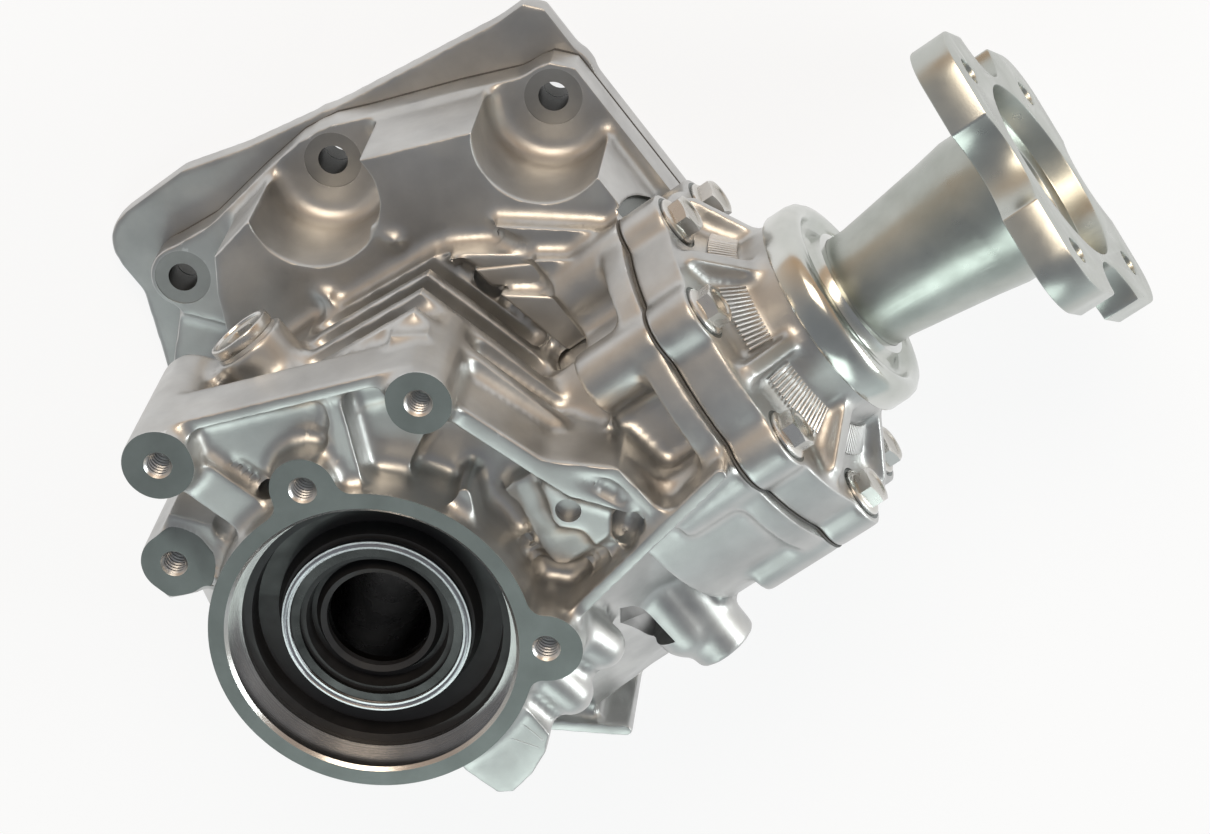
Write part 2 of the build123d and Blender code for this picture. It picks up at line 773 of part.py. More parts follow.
# Filler plug: rimmed disc with a hexagon socket, and its washer
filler_top = -washer_thickness - plug_flange
with BuildPart() as filler_washer:
    disc_on(filler, plug_flange_r, -washer_thickness, 0)
    disc_on(filler, plug_thread_r, -washer_thickness, 0, mode=Mode.SUBTRACT)
finish_part(filler_washer, "filler_washer")
with BuildPart() as filler_plug:
    disc_on(filler, plug_flange_r, filler_top, -washer_thickness)
    disc_on(filler, plug_thread_r - seat_gap, -washer_thickness, plug_reach)
    disc_on(filler, plug_flange_r - plug_rim, filler_top, filler_top + plug_dish, mode=Mode.SUBTRACT)
    with BuildSketch(filler.offset(filler_top)) as socket:
        RegularPolygon(key_flat / 2, 6, major_radius=False)
    extrude(socket.sketch, amount=key_depth, mode=Mode.SUBTRACT)
finish_part(filler_plug, "filler_plug")

# Drain plug with a hexagon socket, sunk in its boss, and its washer
with BuildPart() as drain_washer:
    disc_on(drain, drain_flange_r, drain_sink - washer_thickness, drain_sink)
    disc_on(drain, drain_thread_r, drain_sink - washer_thickness, drain_sink, mode=Mode.SUBTRACT)
finish_part(drain_washer, "drain_washer")
with BuildPart() as drain_plug:
    disc_on(drain, drain_flange_r, drain_sink - washer_thickness - drain_flange, drain_sink - washer_thickness)
    disc_on(drain, drain_thread_r - seat_gap, drain_sink - washer_thickness, drain_sink + plug_reach)
    with BuildSketch(drain.offset(drain_sink - washer_thickness - drain_flange)) as socket:
        RegularPolygon(drain_flat / 2, 6, major_radius=False)
    extrude(socket.sketch, amount=key_depth, mode=Mode.SUBTRACT)
finish_part(drain_plug, "drain_plug")

# Input shaft: hollow, with the gear flange and splined for the gearbox side
with BuildPart() as input_shaft:
    turned([
        (spline_root_r, shaft_bottom), (shaft_rear_r, shaft_bottom),
        (shaft_rear_r, cover_hub_top), (rear_shoulder_r, cover_hub_top),
        (rear_shoulder_r + 3, gear_flange_base), (gear_flange_r, gear_flange_base),
        (gear_flange_r, gear_back), (gear_bore_r - seat_gap, gear_back),
        (gear_bore_r - seat_gap, gear_back + 8), (front_shoulder_r + 6, gear_back + 14),
        (front_shoulder_r, gear_back + 28), (front_shoulder_r, front_bearing_base),
        (shaft_journal_r, front_bearing_base), (shaft_journal_r, shaft_top),
        (axle_seal_r, shaft_top), (axle_seal_r, axle_seal_base), (shaft_bore_r, axle_seal_base),
        (shaft_bore_r, shaft_bottom + spline_length), (spline_root_r, shaft_bottom + spline_length),
    ])
    with BuildSketch(Plane.XY.offset(shaft_bottom)) as splines:
        with PolarLocations((spline_tip_r + spline_root_r + seat_gap) / 2, spline_teeth):
            Rectangle(spline_root_r - spline_tip_r + seat_gap, spline_width)
    extrude(splines.sketch, amount=spline_length)
    with BuildSketch(Plane.XY.offset(gear_flange_base)) as bolt_holes:
        with PolarLocations(gear_bolt_circle_r, gear_bolts):
            Circle(gear_bolt_r + bolt_hole_play)
    extrude(bolt_holes.sketch, amount=gear_back - gear_flange_base, mode=Mode.SUBTRACT)
finish_part(input_shaft, "input_shaft")


def ring_pitch_z(radius):
    """Height of the ring gear pitch surface at a radius, where it meets the pinion below its axis."""
    along_x = math.sqrt(radius ** 2 - pinion_y ** 2)
    return pinion_z - radius ** 2 / along_x * pinion_teeth / ring_teeth


# One tooth gap of the ring gear, a trapezoid that tapers toward the axis
gap_sections = []
for radius in (gear_bore_r - 2, gear_outer_r + 3):
    half = math.pi * radius / ring_teeth / 2
    pitch_z = ring_pitch_z(radius)
    foot = half - tooth_fall * pressure_slope
    mouth = half + (tooth_rise + 1) * pressure_slope
    with BuildSketch(Plane(origin=(radius, 0, pitch_z), x_dir=(0, 1, 0), z_dir=(1, 0, 0))) as section:
        with BuildLine():
            Polyline(
                (-foot, -tooth_fall), (foot, -tooth_fall), (mouth, tooth_rise + 1),
                (-mouth, tooth_rise + 1), close=True,
            )
        make_face()
    gap_sections.append(section.sketch)
with BuildPart() as ring_gap:
    loft(sections=gap_sections, ruled=True)

# Hypoid ring gear
with BuildPart() as ring_gear:
    turned([
        (gear_bore_r, gear_back), (gear_outer_r, gear_back),
        (gear_outer_r, ring_pitch_z(gear_outer_r) + tooth_rise),
        (gear_bore_r, ring_pitch_z(gear_bore_r) + tooth_rise),
    ])
    with PolarLocations(0, ring_teeth):
        add(ring_gap.part, mode=Mode.SUBTRACT)
    with BuildSketch(Plane.XY.offset(gear_back)) as bolt_holes:
        with PolarLocations(gear_bolt_circle_r, gear_bolts):
            Circle(gear_bolt_r)
    extrude(bolt_holes.sketch, amount=gear_bolt_tip + 1 - gear_back, mode=Mode.SUBTRACT)
finish_part(ring_gear, "ring_gear")

# Bolts of the ring gear
with BuildPart() as ring_gear_bolts:
    with BuildSketch(Plane.XY.offset(gear_flange_base)) as heads:
        with PolarLocations(gear_bolt_circle_r, gear_bolts):
            RegularPolygon(gear_bolt_head_r, 6)
    extrude(heads.sketch, amount=-gear_bolt_head)
    with BuildSketch(Plane.XY.offset(gear_flange_base)) as shanks:
        with PolarLocations(gear_bolt_circle_r, gear_bolts):
            Circle(gear_bolt_r - seat_gap)
    extrude(shanks.sketch, amount=gear_bolt_tip - gear_flange_base)
finish_part(ring_gear_bolts, "ring_gear_bolts")

# Bearings of the input shaft
for name, data in (("front_bearing", front_bearing), ("rear_bearing", rear_bearing)):
    with BuildPart() as cup:
        turned(data["cup"])
    finish_part(cup, name + "_cup")
    with BuildPart() as cone:
        turned(data["cone"])
    finish_part(cone, name + "_cone")
    with BuildPart() as rollers:
        turned(data["cage"])
        place_rollers(data, Location((0, 0, 0)))
    finish_part(rollers, name + "_rollers")
with BuildPart() as front_bearing_shim:
    turned([
        (cup_shoulder_r, front_bearing_base + front_bearing_width - bearing_shim),
        (front_cup_r - seat_gap, front_bearing_base + front_bearing_width - bearing_shim),
        (front_cup_r - seat_gap, front_bearing_base + front_bearing_width),
        (cup_shoulder_r, front_bearing_base + front_bearing_width),
    ])
finish_part(front_bearing_shim, "front_bearing_shim")

# Seals of the input shaft
front_seal_top = front_seal_base + front_seal_width
axle_lip_r = shaft_bore_r + axle_lip_play
with BuildPart() as front_shaft_seal:
    turned([
        (seal_r - seat_gap, front_seal_base), (seal_r - seat_gap, front_seal_top),
        (seal_r - 3, front_seal_top), (seal_r - 4, front_seal_base + 5),
        (shaft_journal_r + 6, front_seal_base + 4), (shaft_journal_r + 4, front_seal_top - 2),
        (shaft_journal_r + run_gap, front_seal_top - 1), (shaft_journal_r + run_gap, front_seal_base + 6),
        (shaft_journal_r + 3, front_seal_base + 1), (cup_shoulder_r, front_seal_base + 1),
        (cup_shoulder_r, front_seal_base),
    ])
finish_part(front_shaft_seal, "front_shaft_seal")
with BuildPart() as rear_shaft_seal:
    turned([
        (rear_seal_r - seat_gap, air_gap), (rear_seal_r - seat_gap, rear_bearing_base - air_gap),
        (rear_seal_r - 2, rear_bearing_base - air_gap), (rear_seal_r - 2, 2),
        (shaft_rear_r + 3, 2), (shaft_rear_r + 2, 4.5), (shaft_rear_r + run_gap, 4),
        (shaft_rear_r + run_gap, 2.5), (shaft_rear_r + 1.5, air_gap),
    ])
finish_part(rear_shaft_seal, "rear_shaft_seal")
with BuildPart() as axle_seal:
    turned([
        (axle_seal_r - seat_gap, axle_seal_base), (axle_seal_r - seat_gap, axle_seal_base + axle_seal_width),
        (axle_seal_r - 2, axle_seal_base + axle_seal_width), (axle_seal_r - 3, axle_seal_base + 3),
        (axle_lip_r + 4, axle_seal_base + 3), (axle_lip_r + 2, axle_seal_base + 7),
        (axle_lip_r, axle_seal_base + 6), (axle_lip_r, axle_seal_base + 3),
        (axle_lip_r + 2, axle_seal_base),
    ])
finish_part(axle_seal, "axle_seal")
with BuildPart() as shaft_slinger:
    turned([
        (shaft_journal_r + seat_gap, front_seal_top + air_gap), (slinger_r, front_seal_top + air_gap),
        (slinger_r, slinger_top), (slinger_r - slinger_rise, slinger_top),
        (slinger_r - slinger_rise, shaft_top), (shaft_journal_r + seat_gap, shaft_top),
    ])
finish_part(shaft_slinger, "shaft_slinger")


def ring_blocks(x, y, z, turn):
    """Whether a point is inside a tooth of the ring gear when the gear has turned by an angle."""
    radius = math.hypot(x, y)
    rise = z - ring_pitch_z(radius)
    if rise > tooth_rise:
        return False
    gap_pitch = 2 * math.pi / ring_teeth
    from_gap = (math.atan2(y, x) - turn + gap_pitch / 2) % gap_pitch - gap_pitch / 2
    half = math.pi * radius / ring_teeth / 2 + rise * pressure_slope
    return rise < -tooth_fall or abs(from_gap) * radius > half


def free_half_angle(station, radius, lead, side, most):
    """Widest half angle of a pinion tooth on one side that the turning ring gear leaves free."""
    half = 0.0
    while half < most:
        for step in range(-mesh_steps, mesh_steps + 1):
            turn = step * mesh_range / mesh_steps
            angle = lead + side * half + turn * ring_teeth / pinion_teeth
            y = pinion_y + radius * math.cos(angle)
            z = pinion_z + radius * math.sin(angle)
            if ring_blocks(station, y, z, turn):
                return half - backlash / 2 / radius
        half += 0.002
    return most - backlash / 2 / radius


# Toothed outline of the pinion at several stations along its axis, generated by the ring gear
pinion_head_end_x = head_bearing_x - pinion_shim
pinion_sections = []
for step in range(pinion_steps + 1):
    station = pinion_head_x + step * (pinion_head_end_x - pinion_head_x) / pinion_steps
    square = station ** 2 + pinion_y ** 2
    pitch_r = square / station * pinion_teeth / ring_teeth
    lead = ring_teeth / pinion_teeth * math.atan2(-pinion_y, station) - math.pi / 2
    most = math.pi / pinion_teeth * root_width_share
    flanks = []
    for rise in (-pinion_root_fall, -3.0, -1.2, 0.6, pinion_tip_rise):
        radius = pitch_r + rise
        low_half = free_half_angle(station, radius, lead, -1, most)
        high_half = free_half_angle(station, radius, lead, 1, most)
        flanks.append((radius, low_half, high_half))
    outline = []
    for tooth in range(pinion_teeth):
        middle = lead + 2 * math.pi * tooth / pinion_teeth
        outline += [polar_place(radius, math.degrees(middle - low)) for radius, low, high in flanks]
        outline += [polar_place(radius, math.degrees(middle + high)) for radius, low, high in reversed(flanks)]
    with BuildSketch(across(station)) as section:
        with BuildLine():
            Polyline(*outline, close=True)
        make_face()
    pinion_sections.append(section.sketch)

# Drive pinion: hypoid head, bearing journals, spline seat and thread
stud_base_x = nut_x - 3
with BuildPart() as drive_pinion:
    loft(sections=pinion_sections, ruled=True)
    pinion_disc(head_journal_r, pinion_head_end_x, head_seat_x - air_gap)
    pinion_disc(tail_journal_r, head_seat_x - air_gap, stud_base_x)
    pinion_disc(stud_r, stud_base_x, stud_end_x)
finish_part(drive_pinion, "drive_pinion")

# Bearings of the pinion
for name, data in (("head_bearing", head_bearing), ("tail_bearing", tail_bearing)):
    with BuildPart() as cup:
        turned_on_pinion(swapped(data["cup"]))
    finish_part(cup, name + "_cup")
    with BuildPart() as cone:
        turned_on_pinion(swapped(data["cone"]))
    finish_part(cone, name + "_cone")
    with BuildPart() as rollers:
        turned_on_pinion(swapped(data["cage"]))
        place_rollers(data, across(0).location)
    finish_part(rollers, name + "_rollers")

# Shim, crush sleeve and seal on the pinion
with BuildPart() as pinion_shim_ring:
    pinion_disc(shim_r, head_bearing_x - pinion_shim, head_bearing_x)
    pinion_disc(head_journal_r + seat_gap, head_bearing_x - pinion_shim, head_bearing_x, mode=Mode.SUBTRACT)
finish_part(pinion_shim_ring, "pinion_shim")
with BuildPart() as crush_sleeve:
    turned_on_pinion([
        (head_seat_x, head_journal_r + 0.5), (head_seat_x, head_journal_r + 2.5),
        (head_seat_x + 10, tail_journal_r + 3), (head_seat_x + 17, tail_journal_r + 3),
        (head_seat_x + 22, tail_journal_r + 6), (head_seat_x + 27, tail_journal_r + 3),
        (tail_bearing_x, tail_journal_r + 3), (tail_bearing_x, tail_journal_r + 0.5),
        (head_seat_x + 27, tail_journal_r + 0.5), (head_seat_x + 22, tail_journal_r + 3.5),
        (head_seat_x + 17, tail_journal_r + 0.5), (head_seat_x + 10, tail_journal_r + 0.5),
    ])
finish_part(crush_sleeve, "crush_sleeve")
pinion_seal_end_x = pinion_seal_x + pinion_seal_width
with BuildPart() as pinion_seal:
    turned_on_pinion([
        (pinion_seal_x, pinion_seal_r - seat_gap), (pinion_seal_end_x, pinion_seal_r - seat_gap),
        (pinion_seal_end_x, pinion_seal_r - 2), (pinion_seal_end_x - 3, pinion_seal_r - 3),
        (pinion_seal_end_x - 3, hub_journal_r + 3), (pinion_seal_end_x - 1, hub_journal_r + run_gap),
        (pinion_seal_end_x - 3, hub_journal_r + run_gap), (pinion_seal_x + 3, hub_journal_r + run_gap),
        (pinion_seal_x + 1, hub_journal_r + 2), (pinion_seal_x + 1, hub_journal_r + 4),
        (pinion_seal_x + 5, hub_journal_r + 4), (pinion_seal_x + 5, pinion_seal_r - 3),
        (pinion_seal_x, pinion_seal_r - 3),
    ])
finish_part(pinion_seal, "pinion_seal")

# Companion flange: hub, flare and square plate with four lobes
plate_x = flange_face_x - flange_thickness
with BuildPart() as companion_flange:
    with BuildSketch(across(plate_x)) as plate:
        with BuildSketch(mode=Mode.PRIVATE) as upright_plate:
            RectangleRounded(flange_length, flange_width, flange_corner_r)
            with Locations(
                (0, flange_notch_end + flange_notch_end_r), (0, -flange_notch_end - flange_notch_end_r),
            ):
                Circle(flange_notch_end_r, mode=Mode.SUBTRACT)
            with Locations(
                (flange_notch_side + flange_notch_side_r, 2), (-flange_notch_side - flange_notch_side_r, 2),
            ):
                Circle(flange_notch_side_r, mode=Mode.SUBTRACT)
            with GridLocations(2 * flange_hole_half, 2 * flange_hole_half, 2, 2):
                Circle(flange_hole_r, mode=Mode.SUBTRACT)
        add(upright_plate.sketch.rotate(Axis.Z, flange_turn))
    extrude(plate.sketch, amount=flange_thickness)
    turned_on_pinion([
        (tail_seat_x, tail_journal_r + seat_gap), (tail_seat_x, hub_journal_r),
        (shield_x + 15, hub_journal_r), (nut_x - 8, hub_flare_r - 2), (nut_x + 4, hub_flare_r),
        (plate_x, hub_flare_r), (plate_x, tail_journal_r + seat_gap),
    ])
    turned_on_pinion([
        (flange_face_x - recess_depth, 0), (flange_face_x - recess_depth, recess_r),
        (flange_face_x, recess_r), (flange_face_x, 0),
    ], mode=Mode.SUBTRACT)
    pinion_disc(nut_bay_r, nut_x, flange_face_x, mode=Mode.SUBTRACT)
    pinion_disc(tail_journal_r + seat_gap, tail_seat_x, nut_x, mode=Mode.SUBTRACT)
finish_part(companion_flange, "companion_flange")

# Pressed dust shield on the hub: skirt, rolled ridge and dished web down to a collar
shield_back_x = shield_x + shield_length
shield_ridge = [
    (shield_x, shield_r), (shield_back_x - 3, shield_r), (shield_back_x, shield_r - 2.5),
    (shield_back_x, shield_r - 6), (shield_back_x - 2.5, shield_r - 8),
    (shield_back_x - 2.5, hub_journal_r + shield_thickness + 1.5),
    (shield_back_x + 1.5, hub_journal_r + shield_thickness), (shield_back_x + 1.5, hub_journal_r + seat_gap),
]
shield_inside = [
    (shield_back_x - 2.5 - shield_thickness, hub_journal_r + seat_gap),
    (shield_back_x - 2.5 - shield_thickness, shield_r - 8 - shield_thickness),
    (shield_back_x - 2 - shield_thickness, shield_r - 7),
    (shield_back_x - shield_thickness - 0.5, shield_r - 5.5),
    (shield_back_x - shield_thickness - 0.5, shield_r - 3),
    (shield_back_x - 3, shield_r - shield_thickness), (shield_x, shield_r - shield_thickness),
]
with BuildPart() as dust_shield:
    turned_on_pinion(shield_ridge + shield_inside)
finish_part(dust_shield, "dust_shield")

# Pinion nut
with BuildPart() as pinion_nut:
    with BuildSketch(across(nut_x)) as hexagon:
        RegularPolygon(nut_width / 2, 6, major_radius=False)
    extrude(hexagon.sketch, amount=nut_height)
    pinion_disc(stud_r + seat_gap, nut_x, nut_x + nut_height, mode=Mode.SUBTRACT)
finish_part(pinion_nut, "pinion_nut")
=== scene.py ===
import json
import math

import bpy
import bmesh
from mathutils import Matrix, Vector


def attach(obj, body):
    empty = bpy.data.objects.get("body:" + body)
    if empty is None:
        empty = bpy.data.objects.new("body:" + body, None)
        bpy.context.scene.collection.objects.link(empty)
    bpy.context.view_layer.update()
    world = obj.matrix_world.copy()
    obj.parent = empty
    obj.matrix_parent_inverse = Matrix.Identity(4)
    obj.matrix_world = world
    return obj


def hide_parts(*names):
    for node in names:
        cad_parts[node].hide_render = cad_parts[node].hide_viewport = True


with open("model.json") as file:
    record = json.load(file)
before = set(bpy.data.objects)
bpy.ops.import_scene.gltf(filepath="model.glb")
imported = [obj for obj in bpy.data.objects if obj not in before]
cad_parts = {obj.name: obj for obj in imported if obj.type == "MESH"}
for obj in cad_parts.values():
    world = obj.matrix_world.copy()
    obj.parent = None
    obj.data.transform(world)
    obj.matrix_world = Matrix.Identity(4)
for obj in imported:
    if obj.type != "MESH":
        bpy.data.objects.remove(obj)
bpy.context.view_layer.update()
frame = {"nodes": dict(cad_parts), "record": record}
nodes = frame["nodes"]
scene = bpy.context.scene

MM = 0.001
voxel = 1.0 * MM

# Places and sizes that come from the solids, in millimetres
CASE_TOP = 164.0
PINION = Vector((0.0, -20.0, 76.0))
MOUNTS = [(-26.0, 115.0), (50.0, 118.0), (131.0, 90.0), (-60.0, -100.0), (-100.0, -14.0)]
MOUNT_HOLE_R = 5.5
# x, y, top and radius of each tapped boss
TAPPED = [
    (-17.0, 94.0, CASE_TOP, 12.7), (17.6, 58.5, CASE_TOP, 11.7), (48.4, -36.2, CASE_TOP, 12.8),
    (70.0, 61.0, CASE_TOP, 11.5), (-49.0, 56.0, 140.0, 12.0),
]
BOLT_CIRCLE_R = 60.5
BOLT_ANGLES = [-38.0, 5.0, 49.0, 98.0, 147.0, 194.0, 238.0]
RIB_ANGLES = [-16.0, 27.0, 73.5, 122.5, 170.5, 216.0, 280.0]
COVER_SCREW_CIRCLE_R = 91.0
COVER_SCREW_ANGLES = [30.0, 62.0, 126.0, 160.0, 212.0, 248.0, 300.0]
DOWELS = [(106.0, 98.0), (-58.0, -69.0)]


# Materials

def new_material(name):
    material = bpy.data.materials.new(name)
    material.use_nodes = True
    tree = material.node_tree
    tree.nodes.clear()
    output = tree.nodes.new("ShaderNodeOutputMaterial")
    shader = tree.nodes.new("ShaderNodeBsdfPrincipled")
    tree.links.new(shader.outputs["BSDF"], output.inputs["Surface"])
    return material, tree, shader


def node(tree, kind, inputs=None, **settings):
    made = tree.nodes.new(kind)
    for key, value in settings.items():
        setattr(made, key, value)
    for key, value in (inputs or {}).items():
        if isinstance(value, bpy.types.NodeSocket):
            tree.links.new(value, made.inputs[key])
        else:
            made.inputs[key].default_value = value
    return made


def noise(tree, position, scale, detail=4.0, roughness=0.55):
    return node(tree, "ShaderNodeTexNoise", {"Vector": position, "Scale": scale, "Detail": detail,
                                             "Roughness": roughness}).outputs["Fac"]


def ramp(tree, value, low, high, to_low=0.0, to_high=1.0):
    return node(tree, "ShaderNodeMapRange", {"Value": value, "From Min": low, "From Max": high,
                                             "To Min": to_low, "To Max": to_high}).outputs["Result"]


def mix_colour(tree, factor, first, second):
    made = node(tree, "ShaderNodeMix", data_type="RGBA")
    tree.links.new(factor, made.inputs["Factor"])
    for socket, value in ((made.inputs[6], first), (made.inputs[7], second)):
        if isinstance(value, bpy.types.NodeSocket):
            tree.links.new(value, socket)
        else:
            socket.default_value = (*value, 1.0)
    return made.outputs[2]


def bump(tree, height, strength, distance):
    return node(tree, "ShaderNodeBump", {"Height": height, "Strength": strength,
                                         "Distance": distance}).outputs["Normal"]


def place(tree):
    return node(tree, "ShaderNodeTexCoord").outputs["Object"]


def metal(name, pale, dark, rough_low, rough_high, grain, grain_depth, wear=0.0, hollow_shade=0.0):
    """Metal with mottled tone, fine grain, brighter worn edges and painted shade that darkens its hollows."""
    material, tree, shader = new_material(name)
    position = place(tree)
    broad = noise(tree, position, 38.0, 5.0)
    fine = noise(tree, position, grain, 3.0, 0.6)
    colour = mix_colour(tree, ramp(tree, broad, 0.35, 0.68), dark, pale)
    edge = node(tree, "ShaderNodeNewGeometry").outputs["Pointiness"]
    # Painted shade: hollows found by low pointiness get a darker base colour in place of the shade that falls
    # there.
    if hollow_shade:
        hollow_shade_mask = ramp(tree, edge, 0.36, 0.48, hollow_shade, 0.0)
        colour = mix_colour(tree, hollow_shade_mask, colour, tuple(0.32 * part for part in dark))
    if wear:
        worn = ramp(tree, edge, 0.515, 0.57, 0.0, wear)
        colour = mix_colour(tree, worn, colour, (0.86, 0.86, 0.86))
    tree.links.new(colour, shader.inputs["Base Color"])
    tree.links.new(ramp(tree, noise(tree, position, 90.0, 4.0), 0.3, 0.7, rough_low, rough_high),
                   shader.inputs["Roughness"])
    shader.inputs["Metallic"].default_value = 1.0
    tree.links.new(bump(tree, fine, 0.5, grain_depth), shader.inputs["Normal"])
    return material


def turned_metal(name, tone, axis, centre, rough, rings=9000.0, depth=0.00002):
    """Lathe-finished metal with fine concentric marks round an axis."""
    material, tree, shader = new_material(name)
    position = place(tree)
    moved = node(tree, "ShaderNodeVectorMath", {0: position, 1: tuple(-c * MM for c in centre)},
                 operation="ADD").outputs[0]
    keep = tuple(0.0 if i == axis else 1.0 for i in range(3))
    flat = node(tree, "ShaderNodeVectorMath", {0: moved, 1: keep}, operation="MULTIPLY").outputs[0]
    radius = node(tree, "ShaderNodeVectorMath", {0: flat}, operation="LENGTH").outputs["Value"]
    along = node(tree, "ShaderNodeSeparateXYZ", {"Vector": moved}).outputs[axis]
    path = node(tree, "ShaderNodeMath", {0: radius, 1: along}, operation="ADD").outputs[0]
    lines = node(tree, "ShaderNodeTexNoise", {"W": path, "Scale": rings, "Detail": 2.0},
                 noise_dimensions="1D").outputs["Fac"]
    broad = noise(tree, position, 60.0)
    colour = mix_colour(tree, ramp(tree, broad, 0.3, 0.7), tuple(0.8 * t for t in tone), tone)
    tree.links.new(colour, shader.inputs["Base Color"])
    shader.inputs["Metallic"].default_value = 1.0
    tree.links.new(ramp(tree, lines, 0.3, 0.7, rough * 0.8, rough * 1.25), shader.inputs["Roughness"])
    tree.links.new(bump(tree, lines, 0.35, depth), shader.inputs["Normal"])
    return material


def soft(name, tone, rough, grain=900.0, depth=0.00004, coat=0.0):
    """Rubber or fibre."""
    material, tree, shader = new_material(name)
    position = place(tree)
    colour = mix_colour(tree, ramp(tree, noise(tree, position, 120.0), 0.3, 0.7), tone,
                        tuple(1.5 * t for t in tone))
    tree.links.new(colour, shader.inputs["Base Color"])
    tree.links.new(ramp(tree, noise(tree, position, 200.0), 0.3, 0.7, rough * 0.8, rough * 1.2),
                   shader.inputs["Roughness"])
    shader.inputs["Coat Weight"].default_value = coat
    tree.links.new(bump(tree, noise(tree, position, grain), 0.4, depth), shader.inputs["Normal"])
    return material


cast = metal("cast_aluminium", (0.59, 0.59, 0.58), (0.46, 0.46, 0.455), 0.34, 0.47, 1500.0, 0.00005,
             wear=0.45, hollow_shade=0.30)
spot = turned_metal("spot_faced_aluminium", (0.43, 0.43, 0.42), 2, (0, 0, 0), 0.36)
milled = turned_metal("milled_aluminium", (0.225, 0.24, 0.235), 2, (0, 0, 0), 0.42)
# Painted shade: drilled mount hole walls get a near-black tone in place of the shade inside the holes.
hole_shade_metal = turned_metal("drilled_aluminium_painted_shade", (0.09, 0.09, 0.085), 2, (0, 0, 0), 0.5)
bored = turned_metal("bored_aluminium", (0.62, 0.61, 0.60), 2, (0, 0, 0), 0.22)
thread_metal = metal("cut_thread", (0.80, 0.80, 0.80), (0.62, 0.62, 0.62), 0.26, 0.38, 900.0, 0.00001)
zinc = metal("zinc_steel", (0.50, 0.52, 0.49), (0.40, 0.42, 0.39), 0.26, 0.38, 1100.0, 0.00003, 0.3, 0.2)
zinc_bright = metal("pressed_zinc", (0.62, 0.63, 0.60), (0.48, 0.50, 0.47), 0.14, 0.24, 700.0, 0.00001, 0.3)
bolt_steel = metal("bolt_steel", (0.62, 0.60, 0.56), (0.47, 0.45, 0.41), 0.22, 0.36, 900.0, 0.00002, 0.5, 0.5)
bearing_steel = turned_metal("bearing_steel", (0.66, 0.66, 0.68), 2, (0, 0, 0), 0.16)
gear_steel = metal("gear_steel", (0.40, 0.40, 0.41), (0.30, 0.30, 0.31), 0.2, 0.32, 900.0, 0.00001, 0.5)
shaft_steel = turned_metal("shaft_steel", (0.48, 0.48, 0.48), 2, (0, 0, 0), 0.28)
oiled_steel = metal("oiled_steel", (0.10, 0.10, 0.10), (0.035, 0.035, 0.035), 0.20, 0.34, 900.0, 0.00001)
rubber = soft("black_rubber", (0.012, 0.012, 0.013), 0.42, coat=0.15)
fibre = soft("gasket_fibre", (0.10, 0.10, 0.10), 0.8)

FINISH = {
    "cast_aluminium": cast, "gasket": fibre, "fastener_steel": bolt_steel, "washer_aluminium": cast,
    "rubber": rubber, "machined_steel": shaft_steel, "gear_steel": gear_steel,
    "bearing_steel": bearing_steel, "zinc_steel": zinc,
}
for entry in frame["record"]["subparts"]:
    finish = FINISH[entry["material_slot"]]
    piece = nodes[entry["node"]]
    piece.data.materials.clear()
    piece.data.materials.append(finish)
nodes["input_shaft"].data.materials.clear()
nodes["input_shaft"].data.materials.append(oiled_steel)


# Mesh helpers: they are called with millimetres and make meshes in metres

def link(mesh, name, material, body, smooth_angle):
    made = bpy.data.objects.new(name, mesh)
    scene.collection.objects.link(made)
    if material is not None:
        mesh.materials.clear()
        mesh.materials.append(material)
    shade(made, smooth_angle)
    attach(made, body)
    return made


def shade(made, angle):
    mesh = made.data
    mesh.polygons.foreach_set("use_smooth", [True] * len(mesh.polygons))
    data = bmesh.new()
    data.from_mesh(mesh)
    limit = math.radians(angle)
    for edge in data.edges:
        edge.smooth = len(edge.link_faces) == 2 and edge.calc_face_angle(0.0) < limit
    data.to_mesh(mesh)
    data.free()


def temp_object(mesh):
    made = bpy.data.objects.new("temp", mesh)
    scene.collection.objects.link(made)
    return made


def baked(made):
    """Mesh of an object with its modifiers applied; the object is removed."""
    graph = bpy.context.evaluated_depsgraph_get()
    mesh = bpy.data.meshes.new_from_object(made.evaluated_get(graph))
    bpy.data.objects.remove(made)
    return mesh


def mesh_of(data):
    mesh = bpy.data.meshes.new("part")
    data.to_mesh(mesh)
    data.free()
    return mesh


def cylinder_mesh(radius, start, end, segments=64):
    """Closed cylinder between two points, in millimetres."""
    start, end = Vector(start), Vector(end)
    line = end - start
    turn = line.to_track_quat("Z", "Y").to_matrix().to_4x4()
    data = bmesh.new()
    bmesh.ops.create_cone(data, cap_ends=True, segments=segments, radius1=radius * MM, radius2=radius * MM,
                          depth=line.length * MM, matrix=Matrix.Translation((start + end) / 2 * MM) @ turn)
    return mesh_of(data)


def lathe_mesh(profile, axis="Z", segments=128, closed=True):
    """Surface turned from (radius, place) points in millimetres, closed unless it is a skin."""
    data = bmesh.new()
    rings = []
    for radius, along in profile:
        ring = []
        if radius < 1e-6:
            ring = [data.verts.new((0, 0, along * MM))] * segments
        else:
            for step in range(segments):
                angle = 2 * math.pi * step / segments
                ring.append(data.verts.new((radius * math.cos(angle) * MM, radius * math.sin(angle) * MM,
                                            along * MM)))
        rings.append(ring)
    pairs = list(zip(rings, rings[1:]))
    if closed:
        pairs.append((rings[-1], rings[0]))
    for low, high in pairs:
        for step in range(segments):
            after = (step + 1) % segments
            corners = []
            for vertex in (low[step], low[after], high[after], high[step]):
                if vertex not in corners:
                    corners.append(vertex)
            if len(corners) > 2:
                data.faces.new(corners)
    bmesh.ops.recalc_face_normals(data, faces=data.faces)
    if axis == "X":
        bmesh.ops.transform(data, verts=data.verts,
                            matrix=Matrix.Translation(PINION * MM) @ Matrix.Rotation(math.pi / 2, 4, "Y"))
    return mesh_of(data)


